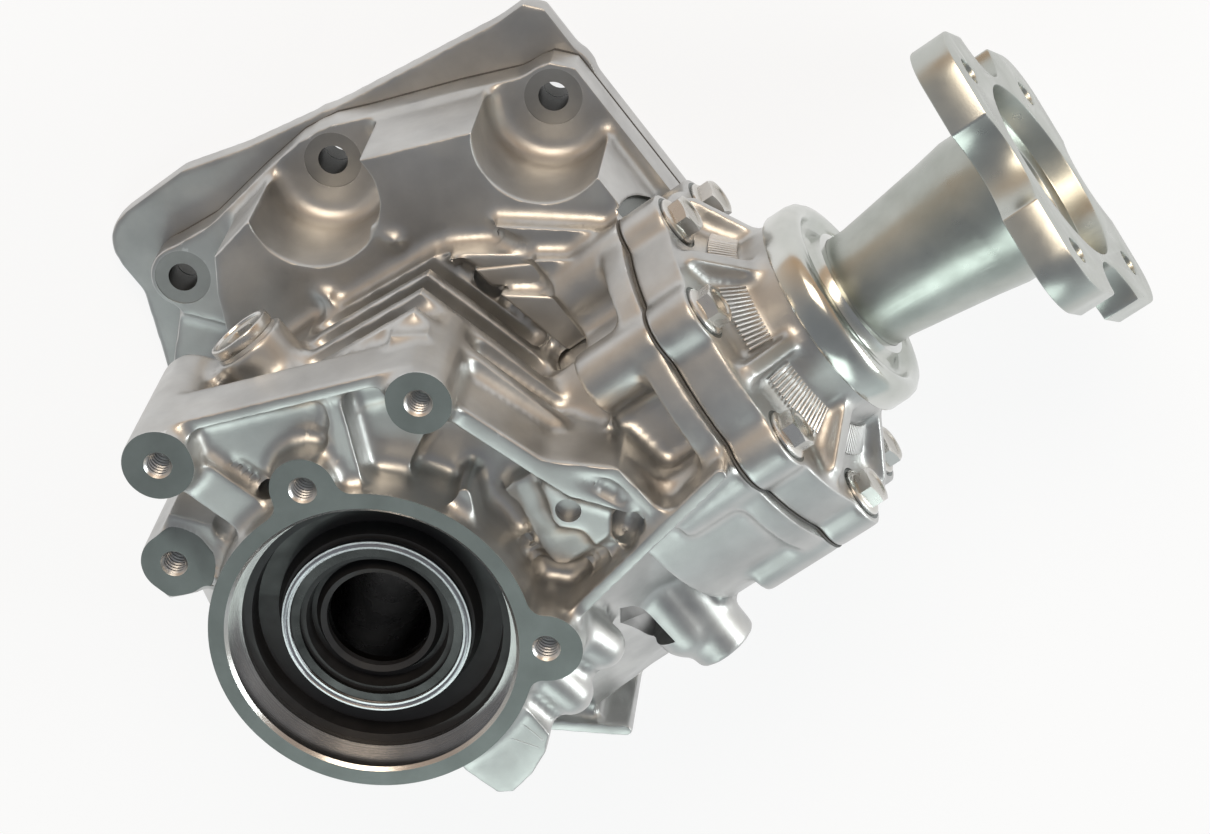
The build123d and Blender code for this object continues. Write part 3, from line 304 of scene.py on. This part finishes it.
def prism_mesh(points, z0, z1):
    """Upright prism of a polygon in millimetres."""
    data = bmesh.new()
    low = [data.verts.new((x * MM, y * MM, z0 * MM)) for x, y in points]
    high = [data.verts.new((x * MM, y * MM, z1 * MM)) for x, y in points]
    data.faces.new(low)
    data.faces.new(list(reversed(high)))
    for i in range(len(points)):
        j = (i + 1) % len(points)
        data.faces.new((low[j], low[i], high[i], high[j]))
    bmesh.ops.recalc_face_normals(data, faces=data.faces)
    return mesh_of(data)


def joined(meshes):
    """One mesh of several, with the materials of the first."""
    kept = list(meshes[0].materials)
    data = bmesh.new()
    for mesh in meshes:
        data.from_mesh(mesh)
        if mesh.users == 0:
            bpy.data.meshes.remove(mesh)
    mesh = mesh_of(data)
    for material in kept:
        mesh.materials.append(material)
    return mesh


def even_out(made, times):
    even = made.modifiers.new("even", "SMOOTH")
    even.factor = 0.5
    even.iterations = times


def remeshed(mesh, size, grow=0.0, before=0, smooth=0):
    """Voxel union of overlapping closed shells, moved along its normals and smoothed; sizes in metres."""
    made = temp_object(mesh)
    remesh = made.modifiers.new("remesh", "REMESH")
    remesh.mode = "VOXEL"
    remesh.voxel_size = size
    remesh.adaptivity = 0.0
    if before:
        even_out(made, before)
    if grow:
        move = made.modifiers.new("move", "DISPLACE")
        move.strength = grow
        move.mid_level = 0.0
    if smooth:
        even_out(made, smooth)
    return baked(made)


def cut(mesh, cutters):
    """Cut a list of closed meshes out of a mesh; the cut faces take the material of their cutter."""
    made = temp_object(mesh)
    tools = []
    for cutter in cutters:
        tool = temp_object(cutter)
        tool.hide_render = True
        step = made.modifiers.new("cut", "BOOLEAN")
        step.operation = "DIFFERENCE"
        step.solver = "MANIFOLD"
        step.object = tool
        step.material_mode = "TRANSFER"
        tools.append(tool)
    result = baked(made)
    for tool in tools:
        bpy.data.objects.remove(tool)
    return result


def with_material(mesh, material):
    mesh.materials.clear()
    mesh.materials.append(material)
    return mesh


def copy_mesh(name):
    mesh = nodes[name].data.copy()
    data = bmesh.new()
    data.from_mesh(mesh)
    bmesh.ops.remove_doubles(data, verts=data.verts, dist=1e-6)
    data.to_mesh(mesh)
    data.free()
    return mesh


def casting(name, fills, cutters, carve=(), extras=(), fillet=2.6, smooth=8):
    """Cast skin of a CAD node: carved and filled, hollows filleted, edges eased, then machined again."""
    raw = copy_mesh(name)
    if carve:
        raw = cut(raw, list(carve))
    raw = joined([raw] + fills)
    raw = remeshed(raw, voxel, grow=fillet * MM, before=2)
    raw = remeshed(raw, voxel, grow=-fillet * MM, before=2, smooth=smooth)
    with_material(raw, cast)
    if cutters:
        raw = cut(raw, cutters)
    if extras:
        raw = joined([raw] + [with_material(extra, cast) for extra in extras])
    return raw


def moved(mesh, x, y):
    mesh.transform(Matrix.Translation((x * MM, y * MM, 0)))
    return mesh


def hull_mesh(points):
    """Convex solid round a few points in millimetres."""
    data = bmesh.new()
    for point in points:
        data.verts.new(tuple(value * MM for value in point))
    result = bmesh.ops.convex_hull(data, input=data.verts)
    unused = result["geom_interior"] + result["geom_unused"]
    spare = [item for item in unused if isinstance(item, bmesh.types.BMVert)]
    bmesh.ops.delete(data, geom=list(set(spare)), context="VERTS")
    bmesh.ops.recalc_face_normals(data, faces=data.faces)
    return mesh_of(data)


def wall_mesh(start, end, thickness, z0, z1):
    """Upright wall with round ends between two points in millimetres."""
    heading = math.atan2(end[1] - start[1], end[0] - start[0])
    points = []
    for (x, y), quarter in ((start, math.pi / 2), (end, -math.pi / 2)):
        for step in range(13):
            angle = heading + quarter + math.pi * step / 12
            points.append((x + thickness / 2 * math.cos(angle), y + thickness / 2 * math.sin(angle)))
    return prism_mesh(points, z0, z1)


def capsule_mesh(start, end, radius, end_radius=None, segments=24):
    """Rod with round ends, in millimetres; the far end may taper."""
    start, end = Vector(start), Vector(end)
    far = radius if end_radius is None else end_radius
    length = (end - start).length
    profile = [(0.0, -radius)]
    profile += [(radius * math.sin(a), -radius * math.cos(a)) for a in (0.4, 0.8, 1.2, math.pi / 2)]
    profile += [(far * math.sin(a), length - far * math.cos(a)) for a in (math.pi / 2, 1.95, 2.35, 2.75)]
    profile += [(0.0, length + far)]
    mesh = lathe_mesh(profile, segments=segments, closed=False)
    turn = (end - start).to_track_quat("Z", "Y").to_matrix().to_4x4()
    mesh.transform(Matrix.Translation(start * MM) @ turn)
    return mesh


def drill(radius, start, end, material, segments=64):
    """Cylinder to cut away, in millimetres, with the material that its walls get."""
    return with_material(cylinder_mesh(radius, start, end, segments), material)


def turned_cut(profile, material, segments=128, axis="Z"):
    """Turned solid to cut away, with the material that its walls get."""
    return with_material(lathe_mesh(profile, axis=axis, segments=segments), material)


def bevel(made, width, angle, segments):
    """Round the edges of an object that are sharper than an angle in degrees."""
    ease = made.modifiers.new("ease", "BEVEL")
    ease.width = width * MM
    ease.segments = segments
    ease.limit_method = "ANGLE"
    ease.angle_limit = math.radians(angle)


def eased_prism(points, z0, z1, width):
    """Upright prism with rounded edges, in millimetres."""
    made = temp_object(prism_mesh(points, z0, z1))
    bevel(made, width, 20, 4)
    return baked(made)


def eased(name, width):
    """Copy of a CAD node with its sharp edges bevelled."""
    made = temp_object(copy_mesh(name))
    plain = made.modifiers.new("plain", "DECIMATE")
    plain.decimate_type = "DISSOLVE"
    plain.angle_limit = math.radians(1.5)
    bevel(made, width, 32, 2)
    return baked(made)


def arc(centre, radius, start, end, step):
    """Points along an arc in plan, in millimetres and degrees."""
    return [(centre[0] + radius * math.cos(math.radians(angle)),
             centre[1] + radius * math.sin(math.radians(angle))) for angle in range(start, end + 1, step)]


def round_pinion(x, radius, angle):
    """Point at an angle round the pinion axis, in millimetres."""
    turn = math.radians(angle)
    return Vector((x, PINION.y + radius * math.cos(turn), PINION.z + radius * math.sin(turn)))


def bolt_spot(x, angle):
    """Point on the bolt circle of the pinion housing, in millimetres."""
    return round_pinion(x, BOLT_CIRCLE_R, angle)


def cove_mesh(centre, radius, floor_z, size, start_angle, end_angle, steps=40):
    """Hollow fillet along part of a round wall, as a closed solid in millimetres."""
    section = [(radius + 2, floor_z - 2), (radius + 2, floor_z + size)]
    for step in range(9):
        angle = math.pi / 2 * step / 8
        section.append((radius - size * (1 - math.cos(angle)), floor_z + size * (1 - math.sin(angle))))
    section.append((radius - size, floor_z - 2))
    data = bmesh.new()
    rows = []
    for step in range(steps + 1):
        angle = math.radians(start_angle + (end_angle - start_angle) * step / steps)
        rows.append([data.verts.new(((centre[0] + r * math.cos(angle)) * MM,
                                     (centre[1] + r * math.sin(angle)) * MM, z * MM)) for r, z in section])
    for first, second in zip(rows, rows[1:]):
        for i in range(len(section)):
            j = (i + 1) % len(section)
            data.faces.new((first[i], first[j], second[j], second[i]))
    data.faces.new(rows[0])
    data.faces.new(list(reversed(rows[-1])))
    bmesh.ops.recalc_face_normals(data, faces=data.faces)
    return mesh_of(data)


def thread_cutter(x, y, top, depth=24.0, pitch=2.0, crest_r=4.2, root_r=5.0, mouth_r=5.4):
    """Tapped hole with a chamfered mouth and ridges of thread, as a solid to cut away."""
    profile = [(0, top - depth - 2.5), (crest_r, top - depth)]
    z = top - depth + 1.0
    while z < top - 1.6:
        profile += [(crest_r, z), (crest_r, z + 0.35 * pitch), (root_r, z + 0.6 * pitch),
                    (root_r, z + 0.75 * pitch)]
        z += pitch
    profile += [(crest_r, top - 0.8), (mouth_r, top + 0.6), (mouth_r, top + 1.5), (0, top + 1.5)]
    return moved(turned_cut(profile, thread_metal, 64), x, y)


def hexagon_head(width, height):
    """Hexagon head along +Z from zero, with a turned chamfer and a shallow dish in its top."""
    corner = width / 2 / math.cos(math.pi / 6)
    data = bmesh.new()
    bmesh.ops.create_cone(data, cap_ends=True, segments=6, radius1=corner * MM, radius2=corner * MM,
                          depth=height * MM, matrix=Matrix.Translation((0, 0, height / 2 * MM)))
    ring = lathe_mesh([(width / 2 - 0.3, height + 0.01), (corner + 2, height - 1.6), (corner + 2, height + 3),
                       (width / 2 - 0.3, height + 3)], segments=72)
    dish = lathe_mesh([(0, height - 0.5), (width / 2 - 2.2, height - 0.5), (width / 2 - 1.4, height + 0.1),
                       (width / 2 - 1.4, height + 1), (0, height + 1)], segments=48)
    return cut(mesh_of(data), [ring, dish])


def area_light(name, place_at, target, size, power, colour):
    data = bpy.data.lights.new(name, "AREA")
    data.shape = "RECTANGLE"
    data.size, data.size_y = size
    data.energy = power
    data.color = colour
    made = bpy.data.objects.new(name, data)
    scene.collection.objects.link(made)
    made.location = place_at
    made.rotation_euler = (Vector(target) - Vector(place_at)).to_track_quat("-Z", "Y").to_euler()


# Main case: outlines in plan and heights

BEAM_ENDS = ((-13.6, 103.1), (73.4, 70.1))
BEAM_TOP = 160.0
BEAM_FOOT = 134.0
BEAM_ROOT = [(-17, 94), (-14, 104), (72, 71), (69, 61)]
MIDDLE_SLOT = [(-10.5, 95.8), (62.0, 68.3), (59.2, 60.9), (-13.3, 88.4)]
SLOT_FLOOR = 146.0

SHELF = [(-8.0, 101.0), (52.0, 78.3), (45.0, 73.5), (39.9, 74.3), (38.4, 70.9), (34.3, 64.9), (30.9, 70.4),
         (26.2, 73.3), (21.3, 73.8), (15.8, 72.6), (10.7, 70.7), (5.0, 66.0), (3.7, 70.5), (2.2, 75.7),
         (-1.2, 79.0), (-8.0, 83.0)]
SHELF_TOP = 151.2
ARCH = [(-9, 81), (-2, 89), (41, 73), (37, 63)] + arc((17.6, 58.5), 17.5, 20, 140, 10) + [(0, 68)]
ARCH_FLOOR = [(4, 66), (16, 74), (32, 72), (38, 62), (20, 52), (6, 54)]
END_FLOOR = [(-15, 62), (-9, 80), (3, 78), (5, 62), (-3, 55)]
SHELF_BED = [(-12, 84), (40, 76), (44, 66), (38, 38), (8, 50), (-10, 60)]
MID_FLOOR = [(48, 70), (60, 66), (66, 50), (46, 40), (36, 48)]
LEFT_BLOCK = [(-38, 72), (-50, 66), (-60, 52), (-60, 46), (-50, 42), (-34, 44), (-28, 60)]

POCKET_CUT = [(63.0, -13.0), (66.0, 9.0), (81.0, 9.0), (90.0, -2.0), (103.0, -19.0), (100.0, -22.5),
              (91.0, -24.0), (66.0, -28.0)]
POCKET_FLOOR = [(68, 10), (84, 14), (105, 0), (107, -21), (94, -27), (68, -27)]
POCKET_FLOOR_TOP = 136
PAD_BED = [(70, 14), (66, 2), (69, -9), (78, -13), (83, -19), (88, -21), (94, -15), (96, -6), (92, 6),
           (84, 12)]
LEDGE = [(65.0, 13.4), (66.3, 5.6), (64.1, -4.5), (62.1, -14.4), (62.3, -19.7), (65.7, -22.1), (74.8, -22.8),
         (83.8, -22.4), (91.8, -21.0), (96.6, -22.5), (101.0, -27.5), (112.0, -19.0), (108.0, -2.0),
         (88.0, 12.0)]
LEDGE_TOP = 143.4
PAD = [(84.2, 13.3), (102.8, 0.3), (101.0, -4.8), (98.3, -8.9), (92.4, -13.9), (87.7, -20.0), (80.4, -20.0),
       (81.0, -13.0), (74.7, -7.2), (74.8, -2.6), (77.6, 3.2), (78.9, 9.3)]
PAD_TOP = 150.6
PAD_HOLE = (81.6, -3.3)
THIN_WALL = ((107, -21), (105, 0), (88, 15))

FIN_SLOT = [(76.3, 79.1), (81.0, 80.4), (98.0, 17.3), (93.4, 16.0)]
FIN_BED = [(28, 60), (28, 83), (76, 79), (93, 16), (70, 10)]
LOW_STEP_CUT = [(81.0, 84.0), (106.0, 66.0), (106.0, 43.2), (88.4, 55.3), (85.5, 64.0)]
LOW_STEP = [(85.2, 67.7), (116.9, 50.3), (119.5, 41.1), (117.1, 36.2), (86.1, 58.6)]
HIGH_STEP_CUT = [(88.0, 56.0), (106.0, 43.5), (106.0, 15.0), (94.0, 19.0)]
HIGH_STEP = [(88.7, 56.3), (121.6, 30.8), (116.4, 27.5), (111.0, 25.2), (95.2, 25.0)]

SLOPE = [(54, -36, 142), (92, -29, 136), (4, -105, 60), (46, -101.5, 60), (60, -88, 84), (20, -60, 60),
         (60, -40, 60), (30, -50, 100)]
SUMP = [(-6, -96), (-5, -104), (3, -105.5), (45, -102.5), (46, -94), (20, -85)]
NOSE_ROOT = [(22, -50, 148), (58, -40, 146), (56, -58, 122), (24, -70, 128), (20, -60, 100), (60, -45, 100)]
DRAIN_GAP = [(61.0, -55.0), (63.5, -58.5), (65.0, -81.0), (54.0, -80.5), (55.0, -62.0)]
LUG_TOP = 25.7
LUG_WALL_R = 24.0
COVE = 7.0
INPUT_BORE = [(0, 5), (79, 5), (79, 60), (49.5, 110), (47.5, 112), (47.5, 135), (43, 135), (43, 138.5),
              (47, 138.5), (47, 153.5), (50, 153.5), (50, 162.8), (51.2, CASE_TOP), (51.2, 170), (0, 170)]
ABOVE_CASE = [(-200, -200), (300, -200), (300, 200), (-200, 200)]
SPOT_FACE_R = 10.6

carve = [
    prism_mesh(MIDDLE_SLOT, SLOT_FLOOR, CASE_TOP + 8),
    prism_mesh(FIN_SLOT, 66.0, 101.0),
    prism_mesh(LOW_STEP_CUT, 80.5, 100.0),
    prism_mesh(HIGH_STEP_CUT, 86.0, 101.0),
    prism_mesh(POCKET_CUT, 136.5, CASE_TOP + 4),
]
fills = [
    cylinder_mesh(56.5, (0, 0, 100), (0, 0, CASE_TOP + 3)),
    # Beam along the outer side of its two bosses
    wall_mesh(*BEAM_ENDS, 4.6, BEAM_FOOT, BEAM_TOP),
    hull_mesh([(x, y, BEAM_FOOT + 2) for x, y in BEAM_ROOT] + [(x, y, SLOT_FLOOR) for x, y in BEAM_ROOT]),
    # Shelf and arch between the end boss, the top boss and the beam
    prism_mesh(ARCH, 128, 147),
    prism_mesh(ARCH_FLOOR, 118, 139),
    prism_mesh(END_FLOOR, 110, 137),
    prism_mesh(SHELF_BED, 118, 132),
    prism_mesh(SHELF, 130, SHELF_TOP),
    capsule_mesh((-1.3, 67.8, 130), (-1.3, 67.8, 147), 2.4),
    wall_mesh((43, 74), (30, 46), 6.0, 130, 158.5),
    prism_mesh(MID_FLOOR, 128, 145),
    # Block beside the ring on the far left
    prism_mesh(LEFT_BLOCK, 100, 139.5),
    # Pad on its ledge and the thin wall at the end of the pocket
    prism_mesh(PAD_BED, 128, 144),
    prism_mesh(LEDGE, 120, LEDGE_TOP),
    prism_mesh(PAD, 126, PAD_TOP),
    wall_mesh(THIN_WALL[0], THIN_WALL[1], 4.6, 118, 156),
    wall_mesh(THIN_WALL[1], THIN_WALL[2], 4.6, 118, 156),
    prism_mesh(POCKET_FLOOR, 127, POCKET_FLOOR_TOP),
    # The lowest fin stands on the near block
    prism_mesh(FIN_BED, 64.0, 77.5),
    # Thin rib above the stepped ribs
    wall_mesh((80, 76.5), (114, 56.5), 3.2, 70, 76),
    # Sloping wall from the web down to the sump, with the noses beside the right boss
    hull_mesh(SLOPE),
    prism_mesh(SUMP, 10.5, 60),
    capsule_mesh((50, -42, 139), (53, -57, 135), 10.0, 8.5),
    capsule_mesh((33, -46, 143), (35, -63, 141), 10.0, 8.5),
    hull_mesh(NOSE_ROOT),
    # Large round beside the drain boss
    capsule_mesh((68, -40, 97), (68, -82, 97), 12.4),
    # Coves under the round walls behind the upper lugs
    cove_mesh(MOUNTS[1], LUG_WALL_R, LUG_TOP + 0.3, COVE, 160, 365),
    cove_mesh(MOUNTS[2], LUG_WALL_R, LUG_TOP + 0.3, COVE, 138, 290),
    # Nubs on the near block and by the fins
    capsule_mesh((62.0, 96.0, 68), (66.0, 90.0, 72), 3.2, 2.0),
    capsule_mesh((30, 92, 68), (33, 87, 73), 3.6, 2.2),
]
cutters = [with_material(prism_mesh(ABOVE_CASE, CASE_TOP, 190.0), milled)]
for x, y, top, boss_r in TAPPED:
    fills.append(cylinder_mesh(boss_r - 0.4, (x, y, top - 30), (x, y, top + 3)))
    if top < CASE_TOP:
        cutters.append(drill(boss_r + 3, (x, y, top), (x, y, top + 6), milled))
    cutters.append(thread_cutter(x, y, top))
for x, y in MOUNTS:
    fills.append(cylinder_mesh(8, (x, y, 11), (x, y, LUG_TOP - 0.2)))
    cutters.append(drill(SPOT_FACE_R, (x, y, LUG_TOP), (x, y, 40), spot))
    cutters.append(drill(MOUNT_HOLE_R, (x, y, 5), (x, y, 41), hole_shade_metal))
cutters += [
    turned_cut(INPUT_BORE, bored, 192),
    with_material(prism_mesh(DRAIN_GAP, 72, 125), cast),
    drill(4.5, (*PAD_HOLE, PAD_TOP - 4), (*PAD_HOLE, 160), cast, 48),
    # Slanting hole in the slope, bore for the drain plug and face that takes the pinion housing
    drill(3.6, (46.0, -62.5, 108), (43.0, -75.0, 140), cast, 32),
    drill(9.9, (74, -91, 94), (74, -110, 94), milled),
    drill(73.9, (137, PINION.y, PINION.z), (150, PINION.y, PINION.z), milled, 160),
]
extras = [
    eased_prism(LOW_STEP, 60, 81.3, 1.3),
    eased_prism(HIGH_STEP, 60, 86.8, 1.3),
    # Two fine slanting ridges outside the ring
    capsule_mesh((18.5, -57.0, 153.6), (20.6, -68.0, 153.6), 0.55, segments=10),
    capsule_mesh((11.5, -60.5, 153.6), (17.5, -69.5, 153.6), 0.5, segments=10),
]
main_mesh = casting("main_case", fills, cutters, carve, extras)
main_piece = link(main_mesh, "case_casting", None, "case", 40.0)
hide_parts("main_case")

# Pinion housing: bolt seats, ribs up to the neck, bore and a ring of fine ridges between the ribs

BOLT_SEAT_X = 154.0
RIB_SIDE = [(150, 36), (150, 61), (158, 61), (171, 38.5), (171, 34)]
RIB_HALF = 3.0
HOUSING_BORE = [(0, 70), (36, 70), (36, 98), (31, 98), (27, 136), (27, 141), (31, 141), (31, 160), (33, 160),
                (33, 190), (0, 190)]
NECK_END = [(30, 181), (60, 181), (60, 200), (30, 200)]
RIDGE_COUNT = 164
RIDGE_PITCH = 2.2
RIDGE_CLEAR = 7.0

fills, cutters, extras = [], [], []
for angle in BOLT_ANGLES:
    fills.append(cylinder_mesh(5, bolt_spot(139, angle), bolt_spot(153, angle)))
    cutters.append(drill(10.2, bolt_spot(BOLT_SEAT_X - 0.1, angle), bolt_spot(166, angle), milled))
    cutters.append(drill(4.3, bolt_spot(130, angle), bolt_spot(156, angle), milled))
for angle in RIB_ANGLES:
    sides = [round_pinion(0, side, angle + 90) for side in (-RIB_HALF, RIB_HALF)]
    fills.append(hull_mesh([tuple(round_pinion(x, r, angle) + side - round_pinion(0, 0, 0))
                            for side in sides for x, r in RIB_SIDE]))
cutters.append(turned_cut(HOUSING_BORE, bored, axis="X"))
cutters.append(turned_cut(NECK_END, milled, axis="X"))
for step in range(RIDGE_COUNT):
    angle = RIDGE_PITCH * step
    nearest = min(abs((angle - other + 180) % 360 - 180) for other in RIB_ANGLES)
    if nearest > RIDGE_CLEAR:
        extras.append(capsule_mesh(round_pinion(158.0, 46.8, angle), round_pinion(164.5, 39.6, angle),
                                   0.45, 0.35, 8))
housing_mesh = casting("pinion_housing", fills, cutters, (), extras, fillet=2.2, smooth=7)
housing_piece = link(housing_mesh, "housing_casting", None, "case", 40.0)
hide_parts("pinion_housing")

# Rear cover: machined face, mounting holes, sunk screws, hub bore with its groove, and dowel holes

COVER_TOP = 9.5
COVER_HUB_TOP = 24.5
SCREW_SINK = [(0, -2), (6.3, -2), (6.3, 5), (3.3, 5), (3.3, 14), (0, 14)]
HUB_BORE = [(0, -5), (34, -5), (34, 6), (40, 6), (40, 30), (0, 30)]
HUB_GROOVE = [(36.5, -5), (36.5, 2.5), (39, 2.5), (39, -5)]
BELOW_COVER = [(-300, -300), (300, -300), (300, 300), (-300, 300)]
HUB_FACE = [(0, COVER_HUB_TOP), (60, COVER_HUB_TOP), (60, 40), (0, 40)]

fills = []
cutters = [with_material(prism_mesh(BELOW_COVER, -20, 0), milled)]
for x, y in MOUNTS:
    fills.append(cylinder_mesh(8, (x, y, 0.5), (x, y, COVER_TOP)))
    cutters.append(drill(MOUNT_HOLE_R, (x, y, -5), (x, y, 15), hole_shade_metal))
for angle in COVER_SCREW_ANGLES:
    x = COVER_SCREW_CIRCLE_R * math.cos(math.radians(angle))
    y = COVER_SCREW_CIRCLE_R * math.sin(math.radians(angle))
    fills.append(cylinder_mesh(8, (x, y, 0.5), (x, y, COVER_TOP)))
    cutters.append(moved(turned_cut(SCREW_SINK, milled, 48), x, y))
cutters += [turned_cut(HUB_BORE, bored, 160), turned_cut(HUB_GROOVE, milled, 160),
            turned_cut(HUB_FACE, milled, 96)]
for x, y in DOWELS:
    fills.append(cylinder_mesh(6, (x, y, 0.5), (x, y, COVER_TOP)))
    cutters.append(drill(4.0, (x, y, 3), (x, y, 15), milled, 48))
cover_mesh = casting("rear_cover", fills, cutters, fillet=2.0, smooth=6)
cover_piece = link(cover_mesh, "cover_casting", None, "case", 40.0)
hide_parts("rear_cover")

# Flange bolts of the pinion housing, each turned a little further than the one before

HEAD_WIDTH = 13.0
HEAD_HEIGHT = 6.4
WASHER = [(0, 0), (9.0, 0), (9.0, 0.9), (8.4, 1.5), (6.6, 2.3), (0, 2.3)]
SHANK = [(0, -34), (3.4, -34), (3.98, -33), (3.98, 0.5), (0, 0.5)]

bolts = []
for index, angle in enumerate(BOLT_ANGLES):
    head = hexagon_head(HEAD_WIDTH, HEAD_HEIGHT)
    head.transform(Matrix.Translation((0, 0, 0.6 * MM)) @ Matrix.Rotation(math.radians(17 * index), 4, "Z"))
    bolt = joined([head, lathe_mesh(WASHER, segments=56), lathe_mesh(SHANK, segments=32)])
    bolt.transform(Matrix.Translation(bolt_spot(BOLT_SEAT_X, angle) * MM)
                   @ Matrix.Rotation(math.pi / 2, 4, "Y"))
    bolts.append(bolt)
bolts_piece = link(joined(bolts), "flange_bolts", bolt_steel, "case", 25.0)
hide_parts("housing_bolts")

# Dust shield: rolled skirt over the neck, bright ridge and dished web
SHIELD = [(39.3, 176.2), (39.8, 176.0), (40.1, 176.8), (40.0, 183.6), (39.3, 186.2), (37.4, 188.1),
          (35.2, 188.7), (33.4, 188.0), (32.4, 186.4), (31.6, 185.0), (30.0, 184.3), (27.2, 184.6),
          (25.5, 186.4), (24.7, 189.6), (22.1, 190.2), (22.1, 183.0), (30.4, 182.8), (32.8, 183.8),
          (34.2, 186.0), (35.4, 187.1), (36.8, 186.6), (38.2, 184.6), (38.7, 182.6), (38.6, 176.6)]
shield_piece = link(lathe_mesh(SHIELD, axis="X", segments=160), "pressed_shield", zinc_bright,
                    "pinion_line", 50.0)
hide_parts("dust_shield")

# Companion flange, plugs and nut with eased edges
for name, width, material, slot, body in (
        ("companion_flange", 0.9, zinc, "zinc_steel", "pinion_line"),
        ("filler_plug", 0.5, bolt_steel, "fastener_steel", "case"),
        ("drain_plug", 0.5, bolt_steel, "fastener_steel", "case"),
        ("pinion_nut", 0.8, bolt_steel, "fastener_steel", "pinion_line")):
    piece = link(eased(name, width), "eased_" + name, material, body, 30.0)
    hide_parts(name)

# Slinger at the mouth of the hollow shaft: two thin bright ridges
SLINGER = [(30.05, 151.0), (33.4, 151.0), (33.5, 152.2), (33.1, 152.9), (32.5, 152.9), (32.1, 152.3),
           (31.8, 152.0), (31.5, 152.3), (31.1, 152.9), (30.4, 152.9), (30.05, 152.3)]
slinger_piece = link(lathe_mesh(SLINGER, segments=160), "bright_slinger", bearing_steel,
                     "input_line", 45.0)
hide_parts("shaft_slinger")

# Camera at the photograph's viewing angle
PHOTO_WIDTH = 1210.0
FOCAL_PIXELS = 3262.0
SENSOR = 36.0

camera_data = bpy.data.cameras.new("camera")
camera = bpy.data.objects.new("camera", camera_data)
scene.collection.objects.link(camera)
right, back = Vector((0.791, -0.606, -0.091)), Vector((0.321, 0.283, 0.905))
right.normalize()
back = (back - back.dot(right) * right).normalized()
view = Matrix((right, back.cross(right), back)).transposed().to_4x4()
view.translation = (0.4626, 0.3254, 1.1361)
camera.matrix_world = view
camera_data.lens = SENSOR * FOCAL_PIXELS / PHOTO_WIDTH
camera_data.sensor_width = SENSOR
camera_data.sensor_fit = "HORIZONTAL"
camera_data.clip_start = 0.05
camera_data.clip_end = 50.0
scene.camera = camera

# Studio lights
target = (0.06, 0.0, 0.08)
area_light("key", (1.2, 1.5, 1.6), target, (1.4, 0.9), 26.0, (1.0, 0.83, 0.64))
area_light("fill", (-1.0, -1.2, 1.7), target, (1.2, 1.2), 9.0, (0.86, 1.0, 0.94))
area_light("low", (1.6, -1.1, 0.7), target, (1.0, 0.6), 16.0, (0.92, 1.0, 1.0))

# Plain room: paler low down, dimmer overhead, warmer behind the lugs than in front
COOL_WALL = (0.80, 0.87, 0.88)
WARM_WALL = (0.72, 0.50, 0.33)
CEILING = (0.30, 0.31, 0.33)

world = bpy.data.worlds.new("studio")
scene.world = world
world.use_nodes = True
tree = world.node_tree
tree.nodes.clear()
output = tree.nodes.new("ShaderNodeOutputWorld")
heading = node(tree, "ShaderNodeTexCoord").outputs["Generated"]
across = node(tree, "ShaderNodeSeparateXYZ", {"Vector": heading}).outputs
warm_side = node(tree, "ShaderNodeMath", {0: across[0], 1: across[1]}, operation="ADD").outputs[0]
wall = mix_colour(tree, ramp(tree, warm_side, -0.8, 1.1), COOL_WALL, WARM_WALL)
sky = mix_colour(tree, ramp(tree, across[2], 0.15, 0.85), wall, CEILING)
room = node(tree, "ShaderNodeBackground", {"Color": sky, "Strength": 0.9})
tree.links.new(room.outputs[0], output.inputs[0])

# Pale floor that the camera and mirror-like metal see nearly white, with the object's shadow kept
FLOOR_HALF = 4.0
FLOOR_DROP = 0.0005
WHITE_SHARE = 0.85

floor_data = bmesh.new()
bmesh.ops.create_grid(floor_data, x_segments=1, y_segments=1, size=FLOOR_HALF)
floor_mesh = mesh_of(floor_data)
floor = bpy.data.objects.new("floor", floor_mesh)
scene.collection.objects.link(floor)
floor.location = (0, 0, -FLOOR_DROP)
floor_material, tree, shader = new_material("pale_floor")
shader.inputs["Base Color"].default_value = (0.9, 0.9, 0.9, 1.0)
shader.inputs["Roughness"].default_value = 0.8
output = next(item for item in tree.nodes if item.type == "OUTPUT_MATERIAL")
white = node(tree, "ShaderNodeEmission", {"Color": (1.0, 1.0, 1.0, 1.0), "Strength": 1.0})
path = node(tree, "ShaderNodeLightPath").outputs
sight = path["Is Camera Ray"]
for kind in ("Is Glossy Ray", "Is Transmission Ray"):
    sight = node(tree, "ShaderNodeMath", {0: sight, 1: path[kind]}, operation="MAXIMUM").outputs[0]
share = node(tree, "ShaderNodeMath", {0: sight, 1: WHITE_SHARE}, operation="MULTIPLY").outputs[0]
blend = tree.nodes.new("ShaderNodeMixShader")
tree.links.new(share, blend.inputs[0])
tree.links.new(shader.outputs["BSDF"], blend.inputs[1])
tree.links.new(white.outputs[0], blend.inputs[2])
tree.links.new(blend.outputs[0], output.inputs["Surface"])
floor_mesh.materials.append(floor_material)

scene.view_settings.view_transform = "Standard"
